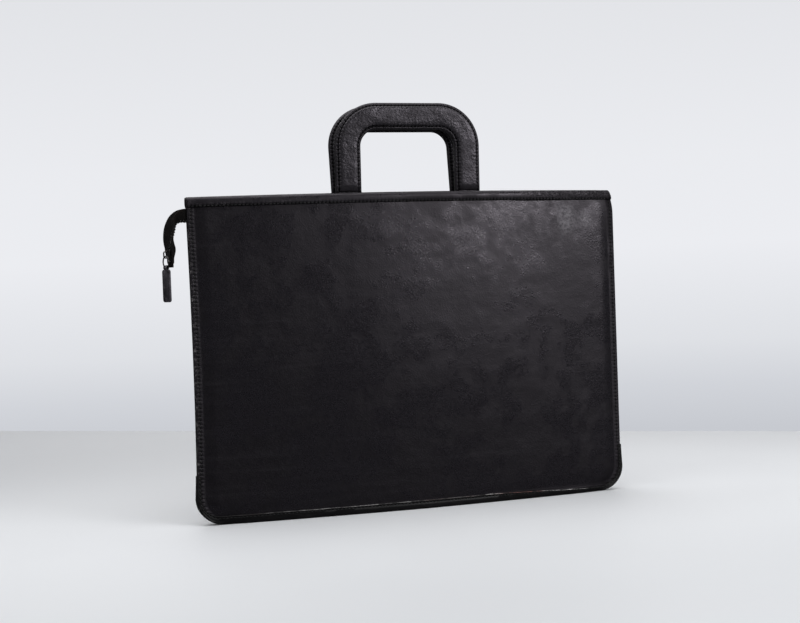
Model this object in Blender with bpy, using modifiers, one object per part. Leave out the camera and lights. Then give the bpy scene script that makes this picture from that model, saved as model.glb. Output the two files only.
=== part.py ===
"""A slim leather document case that stands on its base, with its zip open and the zip's tail out at one end.

The width runs along X, the depth along Y with the front at -Y, and Z is up. The origin is the middle of the
flat base. Every size is in metres.
"""

import math

import bmesh
import bpy
from mathutils import Matrix, Vector

# The body
CASE_WIDTH = 0.400
CASE_HEIGHT = 0.278
CORNER_RADIUS = 0.022
CLEARANCE = 0.0003
PANEL_WALL = 0.0018

# Half the body's depth: at the sewn edge, and on the middle line at the base, the belly and the mouth
EDGE_HALF_DEPTH = 0.0036
BASE_HALF_DEPTH = 0.0138
MOUTH_HALF_DEPTH = 0.0124
BELLY_SWELL = 0.0034
FLANGE_WIDTH = 0.0062
PUFF_WIDTH = 0.013
PUFF_SHARE = 0.34
MOUTH_PUFF_SHARE = 0.2
MOUTH_PUFF_HEIGHT = 0.05
CORNER_PUFF_RADIUS = 0.060
CORNER_PUFF_RISE = 0.045

# How the used case departs from its flat pattern
LEFT_HOLLOW = 0.0016
CORNER_PULL = 0.0048
CORNER_PULL_HEIGHT = 0.022
TOP_BOW = 0.0013

# The strip lapped round the base and the lower corners
STRIP_WALL = 0.0013
STRIP_SKIVED_WALL = 0.0009
STRIP_SKIVE_LENGTH = 0.030
STRIP_TOP = 0.042
LAP_HEIGHT = 0.006
LAP_SIDE_HEIGHT = 0.0032
LAP_CLEARANCE = 0.0004
STRIP_ARRIS_DROP = 0.45
STRIP_ARRIS_REACH = 0.8

# The side gussets, folded inwards
GUSSET_WALL = 0.0012
GUSSET_FOLD_GAP = 0.0006
GUSSET_DEPTH = 0.014
FLANGE_STOP = 0.024
GUSSET_END_ANGLE = math.radians(60)

# The rolls along the mouth
HEM_HEIGHT = 0.0088
HEM_PROUD = 0.0030
HEM_WALL = 0.0012
HEM_NOTCH = 0.0024
HEM_CREST_SHARE = 1 / 3
HEM_SHOULDER_SHARE = 0.2

# The handles
HANDLE_WIDTH = 0.134
HANDLE_HEIGHT = 0.079
HANDLE_SHIFT = -0.0018
HANDLE_BAND = 0.0235
HANDLE_RADIUS = 0.0262
HANDLE_THICKNESS = 0.0094
TONGUE_WALL = 0.0028
TONGUE_LENGTH = 0.038
TONGUE_SHOWS = 0.0018
PAD_START = 0.0045
PAD_START_SHARE = 0.8
PAD_FULL = 0.0072
FRONT_HANDLE_LEAN = math.radians(2)
BACK_HANDLE_LEAN = math.radians(7)

# The zip
TAPE_WIDTH = 0.0120
TAPE_WALL = 0.0009
TAPE_DROP = 0.0094
TAPE_HANG = 0.0112
TAPE_HALF_GAP = 0.0009
TAPE_OPEN_HALF = 0.0045
TAPE_END_INSET = 0.006
TAPE_SIDE_SLOPE = 0.35
TAIL_TURN = math.radians(10)

# The slider, its ring and its pull
SLIDER_LENGTH = 0.012
SLIDER_WIDTH = 0.0085
SLIDER_NOSE_WIDTH = 0.0058
PLATE_WALL = 0.0014
POST_WIDTH = 0.0011
POST_LENGTH = 0.006
BAIL_WIRE = 0.0012
BAIL_RISE = 0.0037
BAIL_FOOT = 0.005
BAIL_LENGTH = 0.0055
BAIL_BEND_SHARE = 1 / 3
RING_RADIUS = 0.0049
RING_WIRE = 0.0012
RING_TURN = math.radians(9)
PULL_LENGTH = 0.0275
PULL_WIDTH = 0.013
PULL_THICKNESS = 0.0026
PULL_CORNER = 0.0008
EYE_RADIUS = 0.0021
EYE_BORE = 0.00115
EYE_LENGTH = 0.0035
EYE_OVERLAP = 0.0006

# How finely the shapes are divided
CORNER_STEPS = 6
PUFF_STEPS = 4
COLUMN_STEPS = 14
ROW_STEPS = 13
GUSSET_STEPS = 5
HANDLE_CORNER_STEPS = 7
TAIL_STEPS = 2
RING_STEPS = 20
WIRE_SIDES = 6
EYE_SIDES = 14
SHARP_ANGLE = math.radians(35)

# The hem's roll, from its seam to its top: share of how far it stands proud, share of its height
HEM_ROLL = (
    (0.10, 1.00),
    (0.48, 0.97),
    (0.83, 0.85),
    (1.00, 0.66),
    (1.00, 0.40),
    (0.80, 0.17),
    (0.38, 0.04),
)

# Across the handle's band: share of its half width, share of its half thickness
HANDLE_SECTION = (
    (-1.00, 0.36),
    (-0.78, 0.42),
    (-0.62, 0.80),
    (-0.28, 1.00),
    (0.28, 1.00),
    (0.62, 0.80),
    (0.78, 0.42),
    (1.00, 0.36),
)

# The zip's tail, in shares of the tape's width from its exit: how far out and down its toothed edge lies, how
# far out and down its sewn edge lies, and how far that edge is spread from the middle
TAIL_STATIONS = (
    (0.45, 0.91, 0.57, 0.12, 0.42),
    (0.78, 1.06, 1.02, 0.54, 0.74),
    (0.91, 1.50, 1.28, 1.24, 0.90),
    (1.00, 2.00, 1.38, 1.95, 0.98),
    (1.16, 2.45, 1.27, 2.45, 1.02),
    (1.22, 2.78, 1.22, 2.78, 1.04),
    (1.22, 3.30, 1.22, 3.30, 1.04),
    (1.22, 4.10, 1.22, 4.10, 1.04),
)
SLIDER_STATION = 3.84

FRONT = -1
BACK = 1
LEFT = -1
RIGHT = 1

PANEL_HALF_WIDTH = CASE_WIDTH / 2 - STRIP_WALL - CLEARANCE
PANEL_BOTTOM = STRIP_WALL + CLEARANCE


def clear_scene():
    for item in list(bpy.data.objects):
        bpy.data.objects.remove(item, do_unlink=True)


def new_collection(name):
    collection = bpy.data.collections.new(name)
    bpy.context.scene.collection.children.link(collection)
    return collection


def new_material(name, colour, roughness, metallic=0.0):
    material = bpy.data.materials.new(name)
    material.use_nodes = True
    shader = material.node_tree.nodes["Principled BSDF"]
    shader.inputs["Base Color"].default_value = (*colour, 1.0)
    shader.inputs["Roughness"].default_value = roughness
    shader.inputs["Metallic"].default_value = metallic
    return material


def new_object(name, shape, material, collection):
    """An object from a bmesh, which is used up."""
    bmesh.ops.recalc_face_normals(shape, faces=shape.faces)
    mesh = bpy.data.meshes.new(name)
    shape.to_mesh(mesh)
    shape.free()
    mesh.shade_smooth()
    mesh.set_sharp_from_angle(angle=SHARP_ANGLE)
    mesh.materials.append(material)
    piece = bpy.data.objects.new(name, mesh)
    collection.objects.link(piece)
    return piece


def loft(rings):
    """A closed bmesh through rings that have as many points each."""
    shape = bmesh.new()
    loops = [[shape.verts.new(point) for point in ring] for ring in rings]
    count = len(loops[0])
    for near, far in zip(loops, loops[1:]):
        for i in range(count):
            j = (i + 1) % count
            shape.faces.new((near[i], near[j], far[j], far[i]))
    shape.faces.new(loops[0])
    shape.faces.new(loops[-1])
    return shape


def clamp(value):
    return min(max(value, 0.0), 1.0)


def smooth(value):
    """0 to 1, with a level start and end."""
    value = clamp(value)
    return value * value * (3 - 2 * value)


def mix(low, high, share):
    return low + (high - low) * share


def edge_x(side, z):
    """Where the panels' outline lies at a height, on the left or the right."""
    reach = PANEL_HALF_WIDTH
    rise = PANEL_BOTTOM + CORNER_RADIUS - z
    if rise > 0:
        reach += math.sqrt(max(CORNER_RADIUS**2 - rise**2, 0.0)) - CORNER_RADIUS
    if side == LEFT:
        return -reach + LEFT_HOLLOW * math.sin(math.pi * clamp(z / CASE_HEIGHT))
    pulled = clamp((z - CASE_HEIGHT) / CORNER_PULL_HEIGHT + 1)
    return reach - CORNER_PULL * pulled**2


def half_depth(x, z):
    """How far a panel's outer face lies from the case's middle plane."""
    share = clamp(z / CASE_HEIGHT)
    middle = mix(BASE_HALF_DEPTH, MOUTH_HALF_DEPTH, share) + BELLY_SWELL * math.sin(math.pi * share)
    inside = min(x - edge_x(LEFT, z), edge_x(RIGHT, z) - x)
    near_mouth = smooth((z - CASE_HEIGHT) / MOUTH_PUFF_HEIGHT + 1)
    puff = mix(PUFF_SHARE, MOUTH_PUFF_SHARE, near_mouth)
    across = math.sin(math.pi / 2 * clamp((inside - FLANGE_WIDTH) / (CASE_WIDTH / 2 - FLANGE_WIDTH)))
    fullness = puff * smooth((puff_distance(x, z, inside) - FLANGE_WIDTH) / PUFF_WIDTH) + (1 - puff) * across
    return EDGE_HALF_DEPTH + (middle - EDGE_HALF_DEPTH) * fullness


def puff_distance(x, z, inside):
    """How far in a point lies from the puff's own outline, which rounds the lower corners more widely."""
    below = CORNER_PUFF_RISE - z
    if below <= 0:
        return inside
    beside = abs(x) - (PANEL_HALF_WIDTH - CORNER_PUFF_RADIUS)
    if beside <= 0:
        return CORNER_PUFF_RADIUS - below - beside
    return min(inside, CORNER_PUFF_RADIUS - math.hypot(beside, below))


def bowed(x, z):
    """The height z after the mouth's slight bow."""
    return z + TOP_BOW * math.cos(math.pi * x / CASE_WIDTH) * clamp(z / CASE_HEIGHT) ** 4


def corner_heights():
    """Heights along the rounded lower corner, from the base up, at even angles."""
    angles = [math.pi / 2 * i / CORNER_STEPS for i in range(CORNER_STEPS + 1)]
    return [PANEL_BOTTOM + CORNER_RADIUS * (1 - math.cos(angle)) for angle in angles]


def columns(z):
    """Places across the case at a height: close together beside the flanges, even between them."""
    left = edge_x(LEFT, z)
    right = edge_x(RIGHT, z)
    span = mix(PUFF_WIDTH, CORNER_PUFF_RISE - FLANGE_WIDTH, smooth(1 - z / CORNER_PUFF_RISE))
    near = [0.0] + [FLANGE_WIDTH + span * i / PUFF_STEPS for i in range(PUFF_STEPS + 1)]
    first = left + near[-1]
    last = right - near[-1]
    middle = [mix(first, last, i / COLUMN_STEPS) for i in range(1, COLUMN_STEPS)]
    return [left + step for step in near] + middle + [right - step for step in reversed(near)]


def panel_rows():
    """Heights of a panel's rows, from its lower edge to its top under the hem."""
    corner = corner_heights()
    top = CASE_HEIGHT - HEM_NOTCH
    return corner + [mix(corner[-1], top, i / ROW_STEPS) for i in range(1, ROW_STEPS + 1)]


def make_panel(name, side, material, collection):
    rows = panel_rows()
    places = [columns(z) for z in rows]
    last_column = len(places[0]) - 1
    last_row = len(rows) - 1
    shape = bmesh.new()
    bmesh.ops.create_grid(shape, x_segments=last_column, y_segments=last_row, size=1.0)
    for vert in shape.verts:
        column = round((vert.co.x + 1) / 2 * last_column)
        row = round((vert.co.y + 1) / 2 * last_row)
        x = places[row][column]
        z = rows[row]
        vert.co = (x, side * half_depth(x, z), bowed(x, z))
    mesh = bpy.data.meshes.new(name)
    if side == BACK:
        bmesh.ops.reverse_faces(shape, faces=shape.faces)
    shape.to_mesh(mesh)
    shape.free()
    mesh.shade_smooth()
    mesh.materials.append(material)
    panel = bpy.data.objects.new(name, mesh)
    collection.objects.link(panel)
    wall = panel.modifiers.new("Leather wall", "SOLIDIFY")
    wall.thickness = PANEL_WALL
    wall.offset = -1
    return panel


def inward_of(path, i):
    """The direction into the case at a point of a path that runs down the left, along the base and up."""
    before = path[max(i - 1, 0)]
    after = path[min(i + 1, len(path) - 1)]
    along = Vector((after[0] - before[0], after[1] - before[1])).normalized()
    return Vector((-along.y, along.x))


def side_path(side, top, heights):
    return [(edge_x(side, z), z) for z in [top, *reversed(heights)]]


def strip_path():
    """The panels' outline from the strip's left end, round the base, to its right end."""
    corner = corner_heights()
    heights = [*corner, mix(corner[-1], STRIP_TOP, 0.5)]
    left = side_path(LEFT, STRIP_TOP, heights)
    right = side_path(RIGHT, STRIP_TOP, heights)
    base = [(x, PANEL_BOTTOM) for x in columns(PANEL_BOTTOM)[1:-1]]
    return left + base + right[::-1]


def make_base_strip(material, collection):
    path = strip_path()
    travel = [0.0]
    for here, there in zip(path, path[1:]):
        travel.append(travel[-1] + math.dist(here, there))
    rings = []
    for i, place in enumerate(path):
        inward = inward_of(path, i)
        from_end = min(travel[i], travel[-1] - travel[i])
        wall = mix(STRIP_SKIVED_WALL, STRIP_WALL, smooth(from_end / STRIP_SKIVE_LENGTH))
        lap = mix(LAP_HEIGHT, LAP_SIDE_HEIGHT, abs(inward.x))
        edge = half_depth(*place)
        outside = []
        lining = []
        for share in (1.0, 0.5, 0.0):
            level = Vector(place) + inward * lap * share
            depth = half_depth(level.x, level.y) + LAP_CLEARANCE
            outside.append((level, depth + wall))
            lining.append((level, depth))
        floor = Vector(place) - inward * CLEARANCE
        under = floor - inward * wall
        arris = floor.lerp(under, STRIP_ARRIS_DROP)
        outside.append((arris, edge + LAP_CLEARANCE + wall * STRIP_ARRIS_REACH))
        outside.append((under, edge))
        lining[-1] = (floor, edge + LAP_CLEARANCE)
        half = outside[::-1] + lining
        front = [(spot.x, -depth, spot.y) for spot, depth in half]
        back = [(spot.x, depth, spot.y) for spot, depth in half]
        rings.append(front + back[::-1])
    return new_object("base_strip", loft(rings), material, collection)


def make_gusset(name, side, material, collection):
    corner = corner_heights()
    top = CASE_HEIGHT - FLANGE_STOP
    lowest = PANEL_BOTTOM + CORNER_RADIUS * (1 - math.sin(GUSSET_END_ANGLE))
    heights = [z for z in corner if z > lowest]
    heights += [mix(corner[-1], top, i / GUSSET_STEPS) for i in range(1, GUSSET_STEPS)]
    path = side_path(side, top, heights)
    half = GUSSET_FOLD_GAP / 2 + GUSSET_WALL
    bend = GUSSET_DEPTH - GUSSET_WALL
    section = [
        (0.0, -half),
        (bend, -half),
        (GUSSET_DEPTH, -half / 2),
        (GUSSET_DEPTH, half / 2),
        (bend, half),
        (0.0, half),
        (0.0, GUSSET_FOLD_GAP / 2),
        (bend, GUSSET_FOLD_GAP / 2),
        (bend, -GUSSET_FOLD_GAP / 2),
        (0.0, -GUSSET_FOLD_GAP / 2),
    ]
    rings = []
    for i, place in enumerate(path):
        inward = inward_of(path, i)
        if side == RIGHT:
            inward = -inward
        spots = [(Vector(place) + inward * reach, y) for reach, y in section]
        rings.append([(spot.x, y, spot.y) for spot, y in spots])
    return new_object(name, loft(rings), material, collection)


def make_hem(name, side, material, collection):
    """The padded roll: out over the panel's face, over its top and down behind it."""
    back_of_panel = -PANEL_WALL - CLEARANCE
    inner_face = back_of_panel - HEM_WALL
    section = [(HEM_PROUD * out, -HEM_HEIGHT * down) for out, down in HEM_ROLL]
    section += [
        (back_of_panel * HEM_CREST_SHARE, 0.0),
        (back_of_panel, -HEM_WALL * HEM_SHOULDER_SHARE),
        (inner_face, -HEM_WALL),
        (inner_face, -HEM_HEIGHT),
        (back_of_panel, -HEM_HEIGHT),
        (back_of_panel, CLEARANCE - HEM_NOTCH),
        (CLEARANCE, CLEARANCE - HEM_NOTCH),
    ]
    left = edge_x(LEFT, CASE_HEIGHT)
    right = edge_x(RIGHT, CASE_HEIGHT)
    shares = [(x - left) / (right - left) for x in columns(CASE_HEIGHT)]
    rings = []
    for share in shares:
        ring = []
        for out, drop in section:
            z = CASE_HEIGHT + drop
            x = mix(edge_x(LEFT, z), edge_x(RIGHT, z), share)
            ring.append((x, side * (half_depth(x, z) + out), bowed(x, z)))
        rings.append(ring)
    return new_object(name, loft(rings), material, collection)


def leg_reach():
    """How far the legs' middle lines lie from the handle's own middle."""
    return (HANDLE_WIDTH - HANDLE_BAND) / 2


def tongue_outer_depth():
    """Where the tongues' outer faces lie: just inside the hem's lining, at the farther leg."""
    farthest = abs(HANDLE_SHIFT) + HANDLE_WIDTH / 2
    lining = half_depth(farthest, CASE_HEIGHT) - PANEL_WALL - CLEARANCE - HEM_WALL
    return lining - CLEARANCE


def handle_path():
    """Points up the left leg, over the bar and down the right: x, z, outward direction and pad's share."""
    reach = leg_reach()
    bar = CASE_HEIGHT + HANDLE_HEIGHT - HANDLE_BAND / 2
    bend = bar - HANDLE_RADIUS
    inner = reach - HANDLE_RADIUS
    leg = [
        (CASE_HEIGHT - TONGUE_LENGTH, 0.0),
        (CASE_HEIGHT + TONGUE_SHOWS, 0.0),
        (CASE_HEIGHT + PAD_START, PAD_START_SHARE),
        (CASE_HEIGHT + PAD_FULL, 1.0),
    ]
    left = [(-reach, z, Vector((-1, 0)), pad) for z, pad in leg]
    for i in range(HANDLE_CORNER_STEPS + 1):
        angle = math.pi / 2 * i / HANDLE_CORNER_STEPS
        outward = Vector((-math.cos(angle), math.sin(angle)))
        spot = Vector((-inner, bend)) + outward * HANDLE_RADIUS
        left.append((spot.x, spot.y, outward, 1.0))
    right = [(-x, z, Vector((-outward.x, outward.y)), pad) for x, z, outward, pad in reversed(left)]
    return left + [(0.0, bar, Vector((0, 1)), 1.0)] + right


def make_handle(name, side, lean, material, collection):
    seat = tongue_outer_depth() - TONGUE_WALL / 2
    hinge = CASE_HEIGHT + TONGUE_SHOWS
    rings = []
    for x, z, outward, pad in handle_path():
        ring = []
        around = [(across, thick) for across, thick in HANDLE_SECTION]
        around += [(across, -thick) for across, thick in reversed(HANDLE_SECTION)]
        for across, thick in around:
            spot = Vector((x, z)) + outward * across * HANDLE_BAND / 2
            flat = math.copysign(TONGUE_WALL / 2, thick)
            depth = mix(flat, thick * HANDLE_THICKNESS / 2, pad)
            leaning = math.tan(lean) * max(spot.y - hinge, 0.0)
            ring.append((spot.x + HANDLE_SHIFT, side * (seat + leaning + depth), spot.y))
        rings.append(ring)
    return new_object(name, loft(rings), material, collection)


def sewn_depth(x):
    """How far from the middle plane the tape is sewn: against the panel, or over the tongues."""
    z = CASE_HEIGHT - TAPE_DROP
    at_panel = half_depth(x, z) - PANEL_WALL - CLEARANCE - TAPE_WALL / 2
    over_tongue = tongue_outer_depth() - TONGUE_WALL - CLEARANCE - TAPE_WALL / 2
    beside = abs(abs(x - HANDLE_SHIFT) - leg_reach()) - tongue_half_room()
    return min(at_panel, over_tongue + TAPE_SIDE_SLOPE * max(beside, 0.0))


def tongue_half_room():
    """Half the width that the tape keeps level over each tongue."""
    return HANDLE_BAND / 2 + 2 * CLEARANCE


def mouth_places(z):
    """Places along the mouth: the panels' own columns, and both sides of each tongue."""
    places = set(columns(z))
    for leg in (-leg_reach(), leg_reach()):
        for aside in (-tongue_half_room(), tongue_half_room()):
            places.add(HANDLE_SHIFT + leg + aside)
    return sorted(places)


def mouth_stations(side):
    """The tape's two edges along the mouth, from its closed end on the right to its exit on the left."""
    z = CASE_HEIGHT - TAPE_DROP
    stations = []
    for x in reversed(mouth_places(z)):
        x = min(x, edge_x(RIGHT, z) - TAPE_END_INSET)
        sewn = max(sewn_depth(x), TAPE_HALF_GAP)
        toothed = min(sewn, TAPE_OPEN_HALF)
        stations.append(((x, side * sewn, z), (x, side * toothed, z - TAPE_HANG)))
    return stations


def tail_stations(side):
    """The same two edges along the tail, turned a little towards the front as they go down."""
    exit_z = CASE_HEIGHT - TAPE_DROP
    start = Vector((edge_x(LEFT, exit_z), 0, exit_z))
    whole_drop = TAIL_STATIONS[-1][1] * TAPE_WIDTH
    stations = []
    for out, down, sewn_out, sewn_down, spread in TAIL_STATIONS:
        turn = Matrix.Rotation(TAIL_TURN * smooth(2 * down * TAPE_WIDTH / whole_drop), 3, "Z")
        toothed = turn @ Vector((0, side * TAPE_HALF_GAP, 0))
        aside = turn @ Vector((0, side * spread * TAPE_WIDTH, 0))
        toothed += start + Vector((-out, 0, -down)) * TAPE_WIDTH
        aside += start + Vector((-sewn_out, 0, -sewn_down)) * TAPE_WIDTH
        stations.append((tuple(aside), tuple(toothed)))
    return stations


def rounded_run(stations, steps):
    """The same stations with points between them, on a smooth curve through them."""
    run = []
    last = len(stations) - 1
    for i in range(last):
        around = [stations[j] for j in (max(i - 1, 0), i, i + 1, min(i + 2, last))]
        for step in range(steps):
            t = step / steps
            edges = []
            for points in zip(*around):
                a, b, c, d = [Vector(point) for point in points]
                curve = b * 2 + (c - a) * t + (a * 2 - b * 5 + c * 4 - d) * t**2
                edges.append((curve + (b * 3 - a - c * 3 + d) * t**3) / 2)
            run.append(tuple(edges))
    return run + [tuple(Vector(point) for point in stations[-1])]


def make_tape(name, side, material, collection):
    mouth = mouth_stations(side)
    run = mouth[:-1] + rounded_run(mouth[-1:] + tail_stations(side), TAIL_STEPS)
    last = len(run) - 1
    shape = bmesh.new()
    bmesh.ops.create_grid(shape, x_segments=last, y_segments=2, size=1.0)
    for vert in shape.verts:
        sewn, toothed = run[round((vert.co.x + 1) / 2 * last)]
        vert.co = Vector(toothed).lerp(Vector(sewn), (vert.co.y + 1) / 2)
    mesh = bpy.data.meshes.new(name)
    shape.to_mesh(mesh)
    shape.free()
    mesh.shade_smooth()
    mesh.materials.append(material)
    tape = bpy.data.objects.new(name, mesh)
    collection.objects.link(tape)
    wall = tape.modifiers.new("Woven wall", "SOLIDIFY")
    wall.thickness = TAPE_WALL
    wall.offset = 0
    return tape


def slider_frame():
    """The slider's own frame: X out of the tail's face, Y across the tail, Z up it."""
    exit_z = CASE_HEIGHT - TAPE_DROP
    out = TAIL_STATIONS[-2][0] * TAPE_WIDTH
    middle = Vector((edge_x(LEFT, exit_z) - out, 0, exit_z - SLIDER_STATION * TAPE_WIDTH))
    return Matrix.Translation(middle) @ Matrix.Rotation(TAIL_TURN + math.pi, 4, "Z")


def add_box(shape, low, high):
    """Adds a box between two corners to a bmesh and returns its points."""
    size = Vector(high) - Vector(low)
    middle = (Vector(high) + Vector(low)) / 2
    place = Matrix.Translation(middle) @ Matrix.Diagonal((*size, 1))
    return bmesh.ops.create_cube(shape, size=1.0, matrix=place)["verts"]


def plate_outer():
    """How far the slider's outer face lies from the middle of the tape."""
    return TAPE_WALL / 2 + CLEARANCE + PLATE_WALL


def make_plate(low_x, high_x):
    """One of the slider's two plates, narrower at its lower end."""
    shape = bmesh.new()
    half = SLIDER_WIDTH / 2
    points = add_box(shape, (low_x, -half, 0), (high_x, half, SLIDER_LENGTH))
    for vert in points:
        if vert.co.z < SLIDER_LENGTH / 2:
            vert.co.y *= SLIDER_NOSE_WIDTH / SLIDER_WIDTH
    corners = [edge for edge in shape.edges if abs(edge.verts[0].co.x - edge.verts[1].co.x) > PLATE_WALL / 2]
    bmesh.ops.bevel(shape, geom=corners, offset=PLATE_WALL, segments=2, profile=0.5, affect="EDGES")
    return shape


def mesh_of(name, shape):
    mesh = bpy.data.meshes.new(name)
    bmesh.ops.recalc_face_normals(shape, faces=shape.faces)
    shape.to_mesh(mesh)
    shape.free()
    return mesh


def helper(name, mesh, frame, cutters):
    """A hidden object that a Boolean joins or cuts with."""
    piece = bpy.data.objects.new(name, mesh)
    piece.matrix_world = frame
    piece.hide_render = True
    piece.display_type = "WIRE"
    cutters.objects.link(piece)
    return piece


def join(piece, other, operation="UNION"):
    step = piece.modifiers.new(other.name, "BOOLEAN")
    step.operation = operation
    step.object = other
    step.solver = "EXACT"


def bail_mesh():
    """The slider's small arch as a bent wire."""
    foot = plate_outer() - PLATE_WALL / 2
    curve = bpy.data.curves.new("bail", "CURVE")
    curve.dimensions = "3D"
    curve.bevel_depth = BAIL_WIRE / 2
    curve.bevel_resolution = 1
    curve.use_fill_caps = True
    spline = curve.splines.new("POLY")
    top = plate_outer() + BAIL_RISE
    low = BAIL_FOOT
    bend = BAIL_RISE * BAIL_BEND_SHARE
    high = low + BAIL_LENGTH
    route = [
        (foot, low),
        (top - bend, low),
        (top, low + bend),
        (top, high - bend),
        (top - bend, high),
        (foot, high),
    ]
    spline.points.add(len(route) - 1)
    for point, (x, z) in zip(spline.points, route):
        point.co = (x, 0, z, 1)
    holder = bpy.data.objects.new("bail_curve", curve)
    bpy.context.scene.collection.objects.link(holder)
    mesh = bpy.data.meshes.new_from_object(holder.evaluated_get(bpy.context.evaluated_depsgraph_get()))
    bpy.data.objects.remove(holder, do_unlink=True)
    shape = bmesh.new()
    shape.from_mesh(mesh)
    bmesh.ops.remove_doubles(shape, verts=shape.verts, dist=1e-6)
    return mesh_of("bail", shape)


def make_slider(material, collection, cutters):
    """Two plates with the tail's tapes between them, joined by a post, with an arch for the ring."""
    frame = slider_frame()
    outer = plate_outer()
    inner = outer - PLATE_WALL
    slider = new_object("zip_slider", make_plate(inner, outer), material, collection)
    slider.matrix_world = frame
    inner_plate = mesh_of("inner_plate", make_plate(-outer, -inner))
    join(slider, helper("inner_plate", inner_plate, frame, cutters))
    post = bmesh.new()
    add_box(
        post,
        (-outer + PLATE_WALL / 2, -POST_WIDTH / 2, SLIDER_LENGTH - POST_LENGTH - PLATE_WALL),
        (outer - PLATE_WALL / 2, POST_WIDTH / 2, SLIDER_LENGTH - PLATE_WALL),
    )
    join(slider, helper("slider_post", mesh_of("slider_post", post), frame, cutters))
    join(slider, helper("slider_bail", bail_mesh(), frame, cutters))
    return slider


def ring_frame():
    """The ring hangs on the arch's lower foot: X through the ring, Y across it, Z up."""
    wire_x = plate_outer() + BAIL_RISE / 2 + CLEARANCE / 2
    wire_z = BAIL_FOOT + (BAIL_WIRE + RING_WIRE) / 2 + CLEARANCE
    hang = Matrix.Translation((wire_x, 0, wire_z - RING_RADIUS))
    return slider_frame() @ hang @ Matrix.Rotation(RING_TURN, 4, "Z")


def make_ring(material, collection):
    bpy.ops.mesh.primitive_torus_add(
        major_segments=RING_STEPS,
        minor_segments=WIRE_SIDES,
        major_radius=RING_RADIUS,
        minor_radius=RING_WIRE / 2,
    )
    ring = bpy.context.object
    ring.name = "zip_ring"
    ring.data.name = "zip_ring"
    ring.data.transform(Matrix.Rotation(math.pi / 2, 4, "Y"))
    ring.data.shade_smooth()
    ring.data.materials.append(material)
    ring.matrix_world = ring_frame()
    for holder in list(ring.users_collection):
        holder.objects.unlink(ring)
    collection.objects.link(ring)
    return ring


def eye_cylinder(name, radius, length):
    shape = bmesh.new()
    bmesh.ops.create_cone(
        shape,
        cap_ends=True,
        segments=EYE_SIDES,
        radius1=radius,
        radius2=radius,
        depth=length,
        matrix=Matrix.Rotation(math.pi / 2, 4, "X"),
    )
    return mesh_of(name, shape)


def make_pull(material, collection, cutters):
    """A leather tab on a small eye that hangs on the ring."""
    frame = ring_frame() @ Matrix.Translation((0, 0, -RING_RADIUS + CLEARANCE / 2))
    top = EYE_OVERLAP - EYE_RADIUS
    half = PULL_THICKNESS / 2
    shape = bmesh.new()
    add_box(shape, (-half, -PULL_WIDTH / 2, top - PULL_LENGTH), (half, PULL_WIDTH / 2, top))
    bmesh.ops.bevel(shape, geom=shape.edges[:], offset=PULL_CORNER, segments=2, profile=0.5, affect="EDGES")
    pull = new_object("zip_pull", shape, material, collection)
    pull.matrix_world = frame
    join(pull, helper("pull_eye", eye_cylinder("pull_eye", EYE_RADIUS, EYE_LENGTH), frame, cutters))
    bore = helper("pull_bore", eye_cylinder("pull_bore", EYE_BORE, 2 * EYE_LENGTH), frame, cutters)
    join(pull, bore, "DIFFERENCE")
    return pull


def main():
    clear_scene()
    case = new_collection("document_case")
    cutters = new_collection("cutters")
    leather = new_material("black_leather", (0.016, 0.016, 0.018), 0.42)
    lap_leather = new_material("worn_lap_leather", (0.022, 0.019, 0.019), 0.50)
    padded = new_material("handle_leather", (0.020, 0.020, 0.022), 0.36)
    woven = new_material("woven_tape", (0.022, 0.019, 0.018), 0.85)
    metal = new_material("dark_metal", (0.22, 0.21, 0.20), 0.34, 1.0)
    make_panel("front_panel", FRONT, leather, case)
    make_panel("back_panel", BACK, leather, case)
    make_gusset("side_gusset_left", LEFT, leather, case)
    make_gusset("side_gusset_right", RIGHT, leather, case)
    make_base_strip(lap_leather, case)
    make_hem("front_hem", FRONT, leather, case)
    make_hem("back_hem", BACK, leather, case)
    make_handle("front_handle", FRONT, FRONT_HANDLE_LEAN, padded, case)
    make_handle("back_handle", BACK, BACK_HANDLE_LEAN, padded, case)
    make_tape("zip_tape_front", FRONT, woven, case)
    make_tape("zip_tape_back", BACK, woven, case)
    make_slider(metal, case, cutters)
    make_ring(metal, case)
    make_pull(padded, case, cutters)


main()
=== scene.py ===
"""The looks of the leather document case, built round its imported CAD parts, on a pale studio floor.

The width runs along X, the depth along Y with the front at -Y, and Z is up. Every size is in metres.
"""

import math

import bmesh
import bpy
import numpy as np
from mathutils import Matrix, Vector, noise


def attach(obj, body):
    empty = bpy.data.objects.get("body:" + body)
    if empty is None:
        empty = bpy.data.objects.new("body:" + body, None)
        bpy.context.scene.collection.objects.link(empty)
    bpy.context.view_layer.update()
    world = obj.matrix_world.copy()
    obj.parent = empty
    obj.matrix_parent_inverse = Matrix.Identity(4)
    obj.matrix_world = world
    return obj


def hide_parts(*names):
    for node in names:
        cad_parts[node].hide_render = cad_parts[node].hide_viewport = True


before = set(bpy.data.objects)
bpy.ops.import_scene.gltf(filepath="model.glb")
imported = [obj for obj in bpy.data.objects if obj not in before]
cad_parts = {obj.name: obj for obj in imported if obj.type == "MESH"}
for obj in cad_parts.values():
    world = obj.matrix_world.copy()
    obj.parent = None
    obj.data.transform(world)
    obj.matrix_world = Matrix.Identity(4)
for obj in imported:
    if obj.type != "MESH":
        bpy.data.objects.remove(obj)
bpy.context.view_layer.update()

FRONT = -1
BACK = 1
LEFT = -1
RIGHT = 1

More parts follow.
